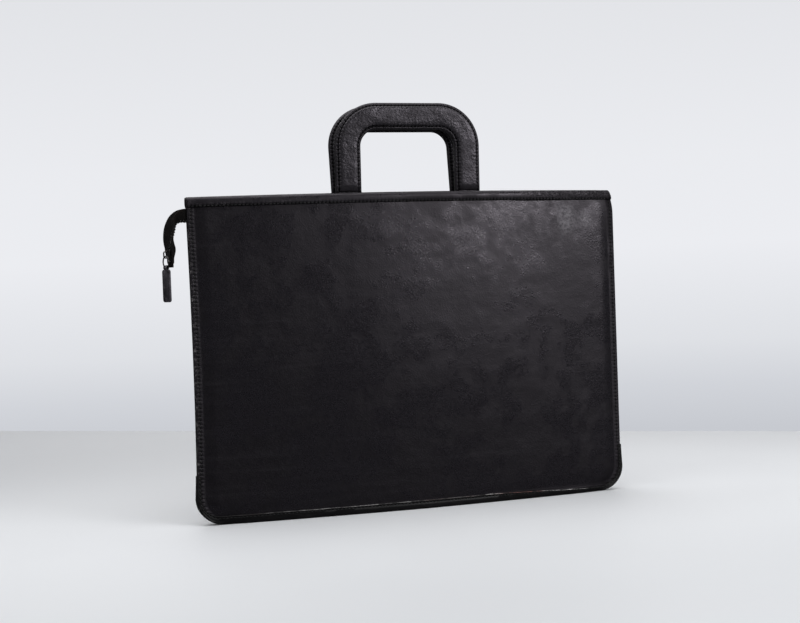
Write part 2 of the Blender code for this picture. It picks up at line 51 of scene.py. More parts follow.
# The body, as in the CAD part
CASE_WIDTH = 0.400
CASE_HEIGHT = 0.278
CORNER_RADIUS = 0.022
CLEARANCE = 0.0003
PANEL_WALL = 0.0018
EDGE_HALF_DEPTH = 0.0036
BASE_HALF_DEPTH = 0.0138
MOUTH_HALF_DEPTH = 0.0124
BELLY_SWELL = 0.0034
FLANGE_WIDTH = 0.0062
LEFT_HOLLOW = 0.0016
CORNER_PULL = 0.0048
CORNER_PULL_HEIGHT = 0.022
TOP_BOW = 0.0013

# The strip, gussets and hems, as in the CAD part
STRIP_WALL = 0.0013
STRIP_SKIVED_WALL = 0.0009
STRIP_SKIVE_LENGTH = 0.030
STRIP_TOP = 0.042
LAP_HEIGHT = 0.006
LAP_SIDE_HEIGHT = 0.0032
LAP_CLEARANCE = 0.0004
GUSSET_WALL = 0.0012
GUSSET_FOLD_GAP = 0.0006
GUSSET_DEPTH = 0.014
FLANGE_STOP = 0.024
GUSSET_END_ANGLE = math.radians(60)
HEM_HEIGHT = 0.0088
HEM_PROUD = 0.0030
HEM_WALL = 0.0012
HEM_NOTCH = 0.0024

# The handles, as in the CAD part
HANDLE_WIDTH = 0.134
HANDLE_HEIGHT = 0.079
HANDLE_SHIFT = -0.0018
HANDLE_BAND = 0.0235
HANDLE_RADIUS = 0.0262
HANDLE_THICKNESS = 0.0094
TONGUE_WALL = 0.0028
TONGUE_LENGTH = 0.038
TONGUE_SHOWS = 0.0018
PAD_START = 0.0045
PAD_FULL = 0.0072
FRONT_HANDLE_LEAN = math.radians(2)
BACK_HANDLE_LEAN = math.radians(7)

# The zip, as in the CAD part
TAPE_WIDTH = 0.0120
TAPE_WALL = 0.0009
TAPE_DROP = 0.0094
TAPE_HANG = 0.0112
TAPE_HALF_GAP = 0.0009
TAPE_OPEN_HALF = 0.0045
TAPE_END_INSET = 0.006
TAPE_SIDE_SLOPE = 0.35
TAIL_TURN = math.radians(10)
# Down the tail, in tape widths: the toothed edge's reach out and down, the sewn edge's, and its spread aside
# The fourth and fifth stations differ slightly from the CAD part's.
TAIL_STATIONS = (
    (0.45, 0.91, 0.57, 0.12, 0.42),
    (0.78, 1.06, 1.02, 0.54, 0.74),
    (0.91, 1.50, 1.28, 1.24, 0.90),
    (1.04, 2.00, 1.34, 1.95, 0.96),
    (1.16, 2.45, 1.29, 2.45, 1.01),
    (1.22, 2.78, 1.22, 2.78, 1.04),
    (1.22, 3.30, 1.22, 3.30, 1.04),
    (1.22, 4.10, 1.22, 4.10, 1.04),
)
SLIDER_STATION = 3.84
SLIDER_LENGTH = 0.012
SLIDER_WIDTH = 0.0085
SLIDER_NOSE_WIDTH = 0.0058
PLATE_WALL = 0.0014
POST_WIDTH = 0.0011
POST_LENGTH = 0.006
BAIL_WIRE = 0.0012
BAIL_RISE = 0.0037
BAIL_FOOT = 0.005
BAIL_LENGTH = 0.0055
RING_RADIUS = 0.0049
RING_WIRE = 0.0012
RING_TURN = math.radians(9)
PULL_LENGTH = 0.0275
PULL_WIDTH = 0.013
PULL_THICKNESS = 0.0026
EYE_RADIUS = 0.0021
EYE_BORE = 0.00115
EYE_LENGTH = 0.0035
EYE_OVERLAP = 0.0006

# Where the dressed leather differs from the CAD part: a gentler rise, a lower strip and a trimmed tail
PUFF_WIDTH = 0.011
PUFF_SHARE = 0.17
MOUTH_PUFF_SHARE = 0.13
MOUTH_PUFF_HEIGHT = 0.05
CORNER_PUFF_RADIUS = 0.036
CORNER_PUFF_RISE = 0.028
PUFF_ROUNDNESS = 0.8
SIDE_LAP_SHARE = 0.25
SIDE_LAP_NARROWING = 0.8
RIGHT_LAP_NARROWING = 0.55
STRIP_END_SHARE = 0.4
RIGHT_LAP_FROM = 0.06
RIGHT_LAP_REACH = 0.11
PAD_RISE_POWER = 0.22
TAIL_TRIM = 0.58

# Sewing: how far apart stitches are, how long and thick each is, and where the seams run
STITCH_PITCH = 0.0033
STITCH_LENGTH = 0.0024
STITCH_RADIUS = 0.00040
STITCH_SLANT = math.radians(7)
SEAM_INSET = 0.0031
SEAM_DEPTH = 0.00050
SEAM_HALF_WIDTH = 0.00075
HEM_SEAM_DROP = 0.0079
RIM_SEAM = 0.76
LEG_SEAM_RISE = 0.0046
SEAM_CLEAR_OF_STRIP = 0.001
SEAM_CLEAR_OF_HEM = 0.0006
SEAM_START = 0.004
HEM_SEAM_DEPTH = 0.0003
HEM_SEAM_END = 0.003
HEM_SEAM_PROUD = 0.80
HEM_STITCH_OUT = 0.86
HEM_STITCH_DOWN = 0.5
RIM_STITCH_RADIUS = 0.00026
RIM_SEAM_THICK = 0.39
LEG_STITCH_PITCH = 0.0028
LEG_STITCH_LENGTH = 0.0022
LEG_SEAM_HALF_SPREAD = 0.66
LEG_SEAM_PAD = 0.70
PULL_STITCH_PITCH = 0.0024
PULL_STITCH_LENGTH = 0.0019
PULL_STITCH_RADIUS = 0.00022
PULL_SEAM_INSET = 0.0016
PULL_SEAM_CORNER = 0.0012
PULL_SEAM_THICK = 0.72

# Unevenness of used leather: how high it is and, as a pitch, how wide
PANEL_WAVE = 0.00042
PANEL_WAVE_PITCH = 0.075
PANEL_RIPPLE = 0.00009
PANEL_RIPPLE_PITCH = 0.014
PANEL_FREE_REACH = 0.03
RIM_WAVE = 0.00006
RIM_WAVE_PITCH = 0.006
EDGE_TURN = 0.0006
LAP_RAGGED = 0.00022
LAP_RAGGED_PITCH = 0.011
GUSSET_UNEVEN = 0.0001
GUSSET_UNEVEN_PITCH = 0.012
HEM_CRINKLE = 0.00045
HEM_CRINKLE_PITCH = 0.0026
HEM_CRINKLE_FROM = 0.105
HEM_CRINKLE_REACH = 0.04
HEM_FLATTENING = 0.22
HEM_LUMP = 0.00016
HEM_LUMP_PITCH = 0.013
HANDLE_WRINKLE = 0.00016
HANDLE_LUMPS = ((0.00030, 0.016), (0.00014, 0.0045))
FOLD_TURNS = 46
FOLD_WANDER = 5
FOLD_WANDER_PITCH = 0.01
OUTER_FOLDS = 0.25
INNER_FOLDS = 1.2
PAD_EDGE = 0.73
TAPE_UNEVEN = 0.0005
TAPE_UNEVEN_PITCH = 0.02

# Small sizes that are in this file alone
PANEL_EDGE_ROUNDING = 0.0007
GUSSET_EDGE_ROUNDING = 0.00025
SLIDER_EDGE_ROUNDING = 0.00028
EYE_EDGE_ROUNDING = 0.0003
TOOTH_PITCH = 0.0024
TOOTH_SIZE = (0.0013, 0.0022, 0.0019)
TOOTH_SINK = 0.0003
TOOTH_ROUNDING = 0.0003
TEETH_CLEAR_OF_SLIDER = 0.001
BAIL_BEND_DIVISOR = 2.4
PULL_CORNER_ROUNDING = 0.0022
PULL_END_TAPER = 0.0014
PULL_END_THICK = 0.30

# Columns beside a panel's edge: from, to, how many
EDGE_COLUMNS = ((0.0, 0.0076, 18), (0.0086, 0.030, 20))
MIDDLE_COLUMNS = 60
PANEL_CORNER_ROWS = 15
PANEL_ROWS = 96
CORNER_ROWS = 19
# Columns beside a hem's ends, where its finer columns begin, and how much of its section its ends keep
HEM_END_COLUMNS = (0.0, 0.0004, 0.0012, 0.003, 0.006)
HEM_END_REACH = 0.0075
HEM_FINE_FROM = 0.1
HEM_FINE_STEP = 0.0007
HEM_END_DEPTH = 0.9
HEM_END_HEIGHT = 0.97

PANEL_HALF_WIDTH = CASE_WIDTH / 2 - STRIP_WALL - CLEARANCE
PANEL_BOTTOM = STRIP_WALL + CLEARANCE


def clamp(value):
    return np.clip(value, 0.0, 1.0)


def smooth(value):
    """0 to 1, with a level start and end."""
    value = clamp(value)
    return value * value * (3 - 2 * value)


def mix(low, high, share):
    return low + (high - low) * share


def side_x(side, z):
    """The straight side's place at a height, without the rounded lower corner."""
    if side == LEFT:
        return -PANEL_HALF_WIDTH + LEFT_HOLLOW * np.sin(np.pi * clamp(z / CASE_HEIGHT))
    pulled = clamp((z - CASE_HEIGHT) / CORNER_PULL_HEIGHT + 1)
    return PANEL_HALF_WIDTH - CORNER_PULL * pulled**2


def edge_x(side, z):
    """Where the panels' outline lies at a height, on the left or the right."""
    rise = np.clip(PANEL_BOTTOM + CORNER_RADIUS - z, 0.0, CORNER_RADIUS)
    corner = CORNER_RADIUS - np.sqrt(CORNER_RADIUS**2 - rise**2)
    return side_x(side, z) - side * corner


def edge_distance(x, z):
    """The true distance in from the sewn outline, round the corners too."""
    beside = np.minimum(x - side_x(LEFT, z), side_x(RIGHT, z) - x)
    above = z - PANEL_BOTTOM
    corner = CORNER_RADIUS - np.hypot(
        np.maximum(CORNER_RADIUS - beside, 0.0), np.maximum(CORNER_RADIUS - above, 0.0)
    )
    rounded = (beside < CORNER_RADIUS) & (above < CORNER_RADIUS)
    return np.where(rounded, corner, np.minimum(beside, above))


def puff_distance(x, z, inside):
    """How far in a point lies from the puff's own outline, which rounds the lower corners more widely."""
    below = CORNER_PUFF_RISE - z
    beside = np.abs(x) - (PANEL_HALF_WIDTH - CORNER_PUFF_RADIUS)
    from_corner = np.hypot(np.maximum(beside, 0.0), np.maximum(below, 0.0))
    corner = np.minimum(inside, CORNER_PUFF_RADIUS - from_corner)
    low = np.where(beside <= 0, CORNER_PUFF_RADIUS - below - beside, corner)
    return np.where(below <= 0, inside, low)


def half_depth(x, z):
    """How far a panel's outer face lies from the case's middle plane."""
    share = clamp(z / CASE_HEIGHT)
    middle = mix(BASE_HALF_DEPTH, MOUTH_HALF_DEPTH, share) + BELLY_SWELL * np.sin(np.pi * share)
    inside = np.minimum(x - edge_x(LEFT, z), edge_x(RIGHT, z) - x)
    near_mouth = smooth((z - CASE_HEIGHT) / MOUTH_PUFF_HEIGHT + 1)
    puff = mix(PUFF_SHARE, MOUTH_PUFF_SHARE, near_mouth)
    across = np.sin(np.pi / 2 * clamp((inside - FLANGE_WIDTH) / (CASE_WIDTH / 2 - FLANGE_WIDTH)))
    rise = clamp((puff_distance(x, z, inside) - FLANGE_WIDTH) / PUFF_WIDTH)
    fullness = puff * mix(smooth(rise), 1 - (1 - rise) ** 2, PUFF_ROUNDNESS) + (1 - puff) * across
    return EDGE_HALF_DEPTH + (middle - EDGE_HALF_DEPTH) * fullness


def bowed(x, z):
    """The height z after the mouth's slight bow."""
    return z + TOP_BOW * np.cos(np.pi * x / CASE_WIDTH) * clamp(z / CASE_HEIGHT) ** 4


def wander(points, pitch, seed):
    """Smooth seeded noise from about -1 to 1, whose features are about a pitch wide."""
    shift = Vector((seed * 7.3, seed * 3.1, seed))
    flat = np.asarray(points, float).reshape(-1, 3)
    values = [noise.noise(Vector(point) / pitch + shift) for point in flat]
    return np.array(values).reshape(np.shape(points)[:-1])


def seam(distance, depth=SEAM_DEPTH, half_width=SEAM_HALF_WIDTH):
    """How deep a sewn line has drawn the leather in, by the distance from it."""
    return depth * np.exp(-((distance / half_width) ** 2))


def travel_along(line):
    """How far along a line each of its points lies."""
    return np.concatenate([[0.0], np.cumsum(np.linalg.norm(np.diff(line, axis=0), axis=1))])


def points_at(spots, travel, line):
    """The points that lie this far along a line."""
    return np.stack([np.interp(spots, travel, line[:, axis]) for axis in range(3)], axis=-1)


def directions(path):
    """The unit direction of a path at each of its points."""
    along = np.gradient(path, axis=0)
    return along / np.linalg.norm(along, axis=1, keepdims=True)


def corner_heights(steps):
    """Heights up the panels' rounded lower corner."""
    return PANEL_BOTTOM + CORNER_RADIUS * (1 - np.cos(np.linspace(0.0, np.pi / 2, steps)))


def stitch_count(line, pitch=STITCH_PITCH):
    """How many stitches an evenly sewn line takes, and how far along it each of its points lies."""
    travel = travel_along(line)
    return max(int(travel[-1] / pitch), 1), travel


def lay_out(mesh, layer_name, first, second):
    """Stores two values at each point as a UV layer that a material reads."""
    layer = mesh.uv_layers.new(name=layer_name)
    spots = np.zeros(len(mesh.loops), np.int32)
    mesh.loops.foreach_get("vertex_index", spots)
    laid = np.stack([np.ravel(first)[spots], np.ravel(second)[spots]], axis=-1)
    layer.data.foreach_set("uv", laid.ravel())


def grid_faces(rows, columns, around=False, closed=False):
    """Quads between the points of a grid, joined round its columns or round its rows where asked."""
    spots = np.arange(rows * columns).reshape(rows, columns)
    if around:
        spots = np.concatenate([spots, spots[:, :1]], axis=1)
    if closed:
        spots = np.concatenate([spots, spots[:1]], axis=0)
    quads = np.stack([spots[:-1, :-1], spots[:-1, 1:], spots[1:, 1:], spots[1:, :-1]], axis=-1)
    return quads.reshape(-1, 4).tolist()


def tube_faces(count, around):
    """The faces of a closed tube through this many rings of so many points."""
    ends = [list(range(around)), list(range((count - 1) * around, count * around))]
    return grid_faces(count, around, around=True) + ends


def add_piece(name, mesh, *materials):
    """Puts a smoothly shaded mesh into the scene."""
    mesh.shade_smooth()
    for material in materials:
        mesh.materials.append(material)
    piece = bpy.data.objects.new(name, mesh)
    bpy.context.scene.collection.objects.link(piece)
    return piece


def add_grid(name, points, faces, material, layer_name, first, second):
    """Puts an open sheet into the scene, with two values laid out on it."""
    mesh = bpy.data.meshes.new(name)
    mesh.from_pydata(points.reshape(-1, 3).tolist(), [], faces)
    lay_out(mesh, layer_name, first, second)
    return add_piece(name, mesh, material)


def add_shape(name, shape, material):
    """Puts an edited shape into the scene."""
    mesh = bpy.data.meshes.new(name)
    shape.to_mesh(mesh)
    shape.free()
    return add_piece(name, mesh, material)


def new_piece(name, points, faces, materials, face_slots=None, sharp=40):
    """A mesh object with its faces turned outwards and its edges over the sharp angle kept crisp."""
    mesh = bpy.data.meshes.new(name)
    mesh.from_pydata(np.asarray(points, float).reshape(-1, 3).tolist(), [], faces)
    if face_slots is not None:
        mesh.polygons.foreach_set("material_index", np.asarray(face_slots, np.int32))
    shape = bmesh.new()
    shape.from_mesh(mesh)
    bmesh.ops.recalc_face_normals(shape, faces=shape.faces)
    shape.to_mesh(mesh)
    shape.free()
    piece = add_piece(name, mesh, *materials)
    mesh.set_sharp_from_angle(angle=math.radians(sharp))
    return piece


def tube_piece(name, rings, materials, ring_slots=None, sharp=40):
    """A closed solid through rings that have as many points each, given as an array."""
    rings = np.asarray(rings, float)
    count, around = rings.shape[:2]
    slots = None
    if ring_slots is not None:
        slots = list(ring_slots) * (count - 1) + [0, 0]
    return new_piece(name, rings, tube_faces(count, around), materials, slots, sharp)


def add_wall(piece, thickness, offset):
    """Gives a sheet its thickness, to the inside at an offset of -1 and to both sides at 0."""
    wall = piece.modifiers.new("Wall", "SOLIDIFY")
    wall.thickness = thickness
    wall.offset = offset
    return piece


def round_edges(piece, width, segments=2, angle=35):
    bevel = piece.modifiers.new("Rounded edges", "BEVEL")
    bevel.width = width
    bevel.segments = segments
    bevel.limit_method = "ANGLE"
    bevel.angle_limit = math.radians(angle)
    bevel.harden_normals = True
    return piece


def finish_piece(piece, slot, *nodes):
    """Ties a piece to the case, in place of the CAD nodes it stands for."""
    if nodes:
        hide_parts(*nodes)
    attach(piece, "root")
    return piece


# Materials


class Nodes:
    """A node tree that is built with few words."""

    def __init__(self, owner):
        owner.use_nodes = True
        self.tree = owner.node_tree

    def set(self, node, socket, value):
        if isinstance(value, bpy.types.NodeSocket):
            self.tree.links.new(value, node.inputs[socket])
        elif value is not None:
            node.inputs[socket].default_value = value

    def node(self, kind, inputs, output=0, **settings):
        """One output of a new node, with its settings made and its inputs set or linked."""
        node = self.tree.nodes.new("ShaderNode" + kind)
        for setting, value in settings.items():
            setattr(node, setting, value)
        for socket, value in inputs.items():
            self.set(node, socket, value)
        return node.outputs[output]

    def split(self, place):
        """A place's outputs X, Y and Z."""
        return self.node("SeparateXYZ", {0: place}).node.outputs


class Shader(Nodes):
    """A material with one shader. Numbers that are the same all over are set on its sockets."""

    def __init__(self, name, colour, roughness, metallic=0.0, specular=0.5, tint=None):
        self.material = bpy.data.materials.new(name)
        super().__init__(self.material)
        self.shader = self.tree.nodes["Principled BSDF"]
        self.set(self.shader, "Base Color", (*colour, 1.0))
        self.set(self.shader, "Roughness", roughness)
        self.set(self.shader, "Metallic", metallic)
        self.set(self.shader, "Specular IOR Level", specular)
        self.set(self.shader, "Specular Tint", tint)
        self.place = self.node("TexCoord", {}, "Object")

    def stretched(self, scale, turn=(0.0, 0.0, 0.0), place=None):
        inputs = {"Vector": place or self.place, "Scale": scale, "Rotation": turn}
        return self.node("Mapping", inputs, "Vector")

    def noise(self, scale, detail=3.0, roughness=0.5, distortion=0.0, place=None):
        inputs = {"Vector": place or self.place, "Scale": scale, "Detail": detail}
        inputs.update({"Roughness": roughness, "Distortion": distortion})
        return self.node("TexNoise", inputs, "Fac")

    def cells(self, scale):
        inputs = {"Vector": self.place, "Scale": scale}
        return self.node("TexVoronoi", inputs, "Distance", feature="SMOOTH_F1")

    def range(self, value, low, high, to_low=0.0, to_high=1.0):
        inputs = {"Value": value, "From Min": low, "From Max": high, "To Min": to_low, "To Max": to_high}
        return self.node("MapRange", inputs, "Result", interpolation_type="SMOOTHSTEP")

    def math(self, operation, first, second=None):
        return self.node("Math", {0: first, 1: second}, operation=operation)

    def times(self, first, second):
        return self.math("MULTIPLY", first, second)

    def minus(self, first, second):
        return self.math("SUBTRACT", first, second)

    def total(self, start, *terms):
        """A start value with shares of other values added, each term a share and its value."""
        for share, value in terms:
            start = self.math("ADD", start, self.times(value, share))
        return start

    def colours(self, share, low, high):
        tones = [(*tone, 1.0) if isinstance(tone, tuple) else tone for tone in (low, high)]
        return self.node("Mix", {0: share, 6: tones[0], 7: tones[1]}, 2, data_type="RGBA")

    def painted(self, tone, *coats):
        """A tone with coats laid over it, each a share and its colour."""
        for share, colour in coats:
            tone = self.colours(share, tone, colour)
        return tone

    def spot(self, centre, reach):
        """1 at a place on the object, falling to 0 at the reach from it along each axis."""
        inputs = {"Vector": self.place, "Location": centre, "Scale": reach}
        inside = self.node("Mapping", inputs, "Vector", vector_type="TEXTURE")
        length = self.node("VectorMath", {0: inside}, "Value", operation="LENGTH")
        return self.range(length, 0.0, 1.0, 1.0, 0.0)

    def sewing(self, line, reach):
        """1 on a sewn line and 0 at the reach; 1 at its needle holes; and the value laid out across it."""
        laid = self.split(self.node("UVMap", {}, "UV", uv_map="sewing"))
        off = self.math("ABSOLUTE", self.minus(self.math("ABSOLUTE", laid["X"]), line))
        turns = self.math("COSINE", self.times(laid["Y"], 2 * math.pi))
        return self.range(off, 0.0, reach, 1.0, 0.0), self.range(turns, -0.2, 0.9), laid["X"]

    def bumps(self, *heights):
        """Bumps laid one over the other, each a height, its distance and its strength."""
        normal = None
        for height, distance, strength in heights:
            inputs = {"Height": height, "Distance": distance, "Strength": strength, "Normal": normal}
            normal = self.node("Bump", inputs, "Normal")
        return normal

    def use(self, colour, roughness, normal=None):
        self.set(self.shader, "Base Color", colour)
        self.set(self.shader, "Roughness", roughness)
        self.set(self.shader, "Normal", normal)
        return self.material


# The front's two patches that are rubbed glossy, with a painted highlight in their colour: middle, reach
GLOSSY_PAINTED_HIGHLIGHT_PATCHES = (
    ((0.149, -0.014, 0.254), (0.017, 0.015, 0.024)),
    ((0.168, -0.014, 0.252), (0.014, 0.015, 0.014)),
)
# The two lengths of the strip's edge that are worn bare: middle, reach
STRONG_WEAR = ((0.102, 0.0, 0.0), (0.085, 0.2, 0.2))
FAINT_WEAR = ((-0.05, 0.0, 0.0), (0.15, 0.2, 0.2))
# Heights between which the panel turns to hem, and places across between which the hem's creases begin
HEM_FOOT = (0.2692, 0.2697)
CREASED_FROM = (0.085, 0.135)
# Places across between which the left edge's wear and painted light end
LEFT_WEAR_AND_PAINTED_LIGHT = (-0.15, -0.05)


def case_leather():
    """Smooth black leather with a waxed, mottled gloss, fine grain, faint streaks and sewn edges; its colour
    also holds painted highlights on two glossy patches, painted light along the left edge and painted shade
    in the needle holes.
    """
    s = Shader("case_leather", (0.010, 0.009, 0.011), 0.42, specular=0.42, tint=(0.98, 0.90, 1.0, 1.0))
    clouds = s.times(s.noise(24.0, 3.0, 0.55, 0.4), 0.70)
    polish = s.range(s.total(clouds, (0.30, s.noise(95.0, 3.0, 0.55, 0.3))), 0.44, 0.565)
    streaks = s.noise(26.0, 3.0, 0.6, 0.2, place=s.stretched((0.35, 1.0, 5.0), (0.0, 0.10, 0.0)))
    streaked = s.range(streaks, 0.48, 0.72)
    fine = s.noise(1300.0, 4.0, 0.65)
    glints = s.range(s.noise(420.0, 3.0, 0.6), 0.36, 0.60, 0.25, 1.0)
    worn = s.range(s.noise(260.0, 4.0, 0.7), 0.52, 0.70)
    place = s.split(s.place)
    on_left = s.range(place["X"], *LEFT_WEAR_AND_PAINTED_LIGHT, 1.0, 0.0)
    on_hem = s.range(place["Z"], *HEM_FOOT)
    creased = s.times(s.range(place["X"], *CREASED_FROM), on_hem)
    seam_near, holes, beside = s.sewing(SEAM_INSET, 0.0012)
    pucker_near = s.sewing(SEAM_INSET, 0.0032)[0]
    edge = s.range(beside, 0.0045, 0.0080, 1.0, 0.0)
    arris = s.times(s.range(beside, 0.0006, 0.0024, 1.0, 0.0), s.minus(1.0, on_hem))
    pulled = s.times(pucker_near, s.minus(1.0, holes))
    pulled = s.times(pulled, s.range(s.noise(150.0, 2.0), 0.30, 0.60, 0.35, 1.0))
    normal = s.bumps(
        (s.noise(48.0, 2.0, 0.45), 0.00110, 0.50),
        (pulled, 0.00055, 0.8),
        (s.times(s.noise(330.0, 4.0, 0.65, 0.5), creased), 0.0016, 1.0),
        (s.cells(900.0), 0.00016, 0.50),
        (fine, 0.00007, 0.60),
    )
    patches = [s.spot(*patch) for patch in GLOSSY_PAINTED_HIGHLIGHT_PATCHES]
    gloss_and_painted_highlight = s.times(s.math("MAXIMUM", *patches), glints)
    rough = s.total(
        0.445,
        (-0.155, polish),
        (-0.07, gloss_and_painted_highlight),
        (-0.09, s.minus(glints, 0.6)),
        (-0.08, creased),
        (0.12, s.minus(fine, 0.5)),
        (1.0, s.times(edge, s.minus(0.38, s.times(on_left, 0.24)))),
    )
    tone = s.painted(
        s.colours(polish, (0.0046, 0.0041, 0.0054), (0.0092, 0.0083, 0.0104)),
        (s.times(streaked, 0.30), (0.0160, 0.0148, 0.0172)),
        # Painted light: the left flange and its arris lightened where light falls on them, broken up by the
        # wear noise
        (s.times(s.times(s.times(edge, worn), on_left), 0.6), (0.0420, 0.0390, 0.0400)),
        (s.times(s.times(arris, worn), on_left), (0.1300, 0.1220, 0.1200)),
        # Painted shade: darker in the needle holes
        (s.times(seam_near, holes), (0.0012, 0.0011, 0.0012)),
        # Painted highlight: the glossy patches lightened in colour
        (gloss_and_painted_highlight, (0.1500, 0.1450, 0.1540)),
    )
    return s.use(tone, rough, normal)


def handle_leather(name, shine_and_painted_light):
    """The same leather, stretched over padding and polished by the hand, with painted shade in its needle
    holes; a shine above 1 also lightens its colour as painted light.
    """
    s = Shader(name, (0.016, 0.016, 0.018), 0.38, specular=0.50 * shine_and_painted_light, tint=(0.96, 0.89, 1.0, 1.0))
    polish = s.range(s.noise(55.0, 5.0, 0.65, 0.5), 0.38, 0.66)
    fine = s.noise(1100.0, 4.0, 0.65)
    seam_near, holes, across = s.sewing(RIM_SEAM, 0.10)
    pucker_near = s.sewing(RIM_SEAM, 0.22)[0]
    rim = s.range(s.math("ABSOLUTE", across), 0.74, 0.84)
    normal = s.bumps(
        (s.noise(150.0, 5.0, 0.65, 0.8), 0.00050, 0.60),
        (s.times(pucker_near, s.minus(1.0, holes)), 0.00050, 0.8),
        (s.cells(560.0), 0.00020, 0.65),
        (fine, 0.00007, 0.60),
    )
    rough = s.total(0.42, (-0.17, polish), (0.18, s.minus(fine, 0.5)), (0.10, rim))
    # Painted light: a shine above 1 raises the polished tone, making a lighter copy for the pull
    bright = tuple(shade * shine_and_painted_light**3 for shade in (0.0190, 0.0176, 0.0204))
    tone = s.painted(
        s.colours(polish, (0.0060, 0.0054, 0.0066), bright),
        (s.times(rim, 0.6), (0.0040, 0.0037, 0.0042)),
        # Painted shade: darker in the needle holes
        (s.times(seam_near, holes), (0.0010, 0.0010, 0.0011)),
    )
    return s.use(tone, rough, normal)


def strip_leather():
    """The lapped strip: the same black, scuffed lighter along the base."""
    s = Shader("strip_leather", (0.006, 0.006, 0.006), 0.5, specular=0.28)
    scuffs = s.noise(150.0, 5.0, 0.7, 0.8, place=s.stretched((0.3, 1.0, 1.6)))
    worn = s.range(scuffs, 0.52, 0.74)
    normal = s.bumps((s.noise(320.0, 4.0, 0.6), 0.00018, 0.6), (s.noise(1100.0, 4.0, 0.6), 0.00006, 0.6))
    tone = s.colours(worn, (0.0042, 0.0038, 0.0046), (0.0150, 0.0130, 0.0135))
    return s.use(tone, s.total(0.46, (0.16, worn)), normal)


def raw_edge():
    """The strip's cut edge, where the black finish has worn off to grey and reddish brown."""
    s = Shader("raw_edge", (0.08, 0.065, 0.06), 0.7, specular=0.35)
    worn = s.range(s.noise(95.0, 5.0, 0.7, 0.6), 0.40, 0.66)
    red = s.range(s.noise(16.0, 2.0, 0.5), 0.54, 0.66)
    fibre = s.noise(1300.0, 4.0, 0.7)
    bare = s.colours(red, (0.6200, 0.6000, 0.6000), (0.1500, 0.0620, 0.0540))
    strong = s.range(s.spot(*STRONG_WEAR), 0.0, 0.5)
    faint = s.times(s.spot(*FAINT_WEAR), 0.42)
    worn = s.times(worn, s.math("MAXIMUM", strong, faint))
    tone = s.colours(worn, (0.0080, 0.0072, 0.0078), bare)
    return s.use(tone, s.total(0.55, (0.3, fibre)), s.bumps((fibre, 0.00015, 0.8)))


def woven_tape():
    """Woven zip tape in a fine herringbone, laid out along the tape's own length and width."""
    s = Shader("zip_tape", (0.006, 0.005, 0.005), 0.8, specular=0.14)
    uv = s.node("UVMap", {}, "UV")
    slanted = s.stretched((1.0, 1.0, 1.0), (0.0, 0.0, math.radians(38)), place=uv)
    twill = s.node("TexWave", {"Vector": slanted, "Scale": 420.0, "Distortion": 0.6, "Detail": 1.0}, "Fac")
    ribs = s.node("TexWave", {"Vector": uv, "Scale": 330.0}, "Fac", bands_direction="Y")
    height = s.total(s.times(twill, 0.7), (0.3, ribs))
    fuzz = s.noise(800.0, 4.0, 0.7)
    tone = s.painted(
        s.colours(height, (0.0014, 0.0011, 0.0011), (0.0062, 0.0050, 0.0047)),
        (s.range(s.noise(120.0, 3.0), 0.45, 0.75), (0.0085, 0.0050, 0.0042)),
    )
    s.set(s.shader, "Sheen Weight", 0.015)
    s.set(s.shader, "Sheen Roughness", 0.5)
    return s.use(tone, s.total(0.66, (0.3, fuzz)), s.bumps((s.total(height, (0.4, fuzz)), 0.00022, 0.9)))


def worn_metal():
    """Darkened metal, rubbed brighter in small scratches."""
    s = Shader("zip_metal", (0.13, 0.125, 0.12), 0.34, metallic=1.0)
    scratches = s.noise(900.0, 5.0, 0.7, place=s.stretched((1.0, 1.0, 0.15)))
    tone = s.colours(s.range(scratches, 0.50, 0.70), (0.075, 0.072, 0.070), (0.300, 0.290, 0.275))
    rough = s.total(0.24, (0.26, s.noise(1500.0, 4.0, 0.6)))
    return s.use(tone, rough, s.bumps((scratches, 0.00004, 0.5)))


def sewing_thread():
    """Black waxed thread with its twist."""
    s = Shader("sewing_thread", (0.011, 0.011, 0.012), 0.5, specular=0.4)
    twist = s.noise(2600.0, 3.0, 0.6)
    shade = s.range(s.noise(300.0, 2.0), 0.4, 0.7)
    tone = s.colours(shade, (0.0075, 0.0075, 0.0080), (0.0180, 0.0175, 0.0180))
    return s.use(tone, s.total(0.40, (0.3, twist)), s.bumps((twist, 0.0001, 0.8)))


# Sewing

# Along a unit stitch: place, share of its radius, how far it is sunk in radii
STITCH_STATIONS = (
    (-0.50, 0.30, -0.9),
    (-0.40, 0.80, -0.35),
    (-0.15, 1.00, 0.0),
    (0.15, 1.00, 0.0),
    (0.40, 0.80, -0.35),
    (0.50, 0.30, -0.9),
)
STITCH_SIDES = 6


def unit_stitch():
    """A rounded bead along X that dips at both ends: its points and its faces."""
    angles = np.arange(STITCH_SIDES) * 2 * np.pi / STITCH_SIDES
    rings = [[(x, r * math.cos(a), r * math.sin(a) + dip) for a in angles] for x, r, dip in STITCH_STATIONS]
    return np.array(rings).reshape(-1, 3), tube_faces(len(rings), STITCH_SIDES)


def stitch_row(line, normal, pitch=STITCH_PITCH, length=STITCH_LENGTH, radius=STITCH_RADIUS):
    """Frames (centre, along, across, out) of stitches at an even pitch on a sewn line."""
    line = np.asarray(line, float)
    count, travel = stitch_count(line, pitch)
    spots = (np.arange(count) + 0.5) * travel[-1] / count
    centre = points_at(spots, travel, line)
    along = points_at(spots + pitch / 3, travel, line) - points_at(spots - pitch / 3, travel, line)
    along /= np.linalg.norm(along, axis=1, keepdims=True)
    out = np.tile(np.asarray(normal, float), (count, 1))
    out -= along * np.sum(out * along, axis=1, keepdims=True)
    out /= np.linalg.norm(out, axis=1, keepdims=True)
    turned = along * math.cos(STITCH_SLANT) + np.cross(out, along) * math.sin(STITCH_SLANT)
    across = np.cross(out, turned)
    return [(centre[i], turned[i] * length, across[i] * radius, out[i] * radius) for i in range(count)]


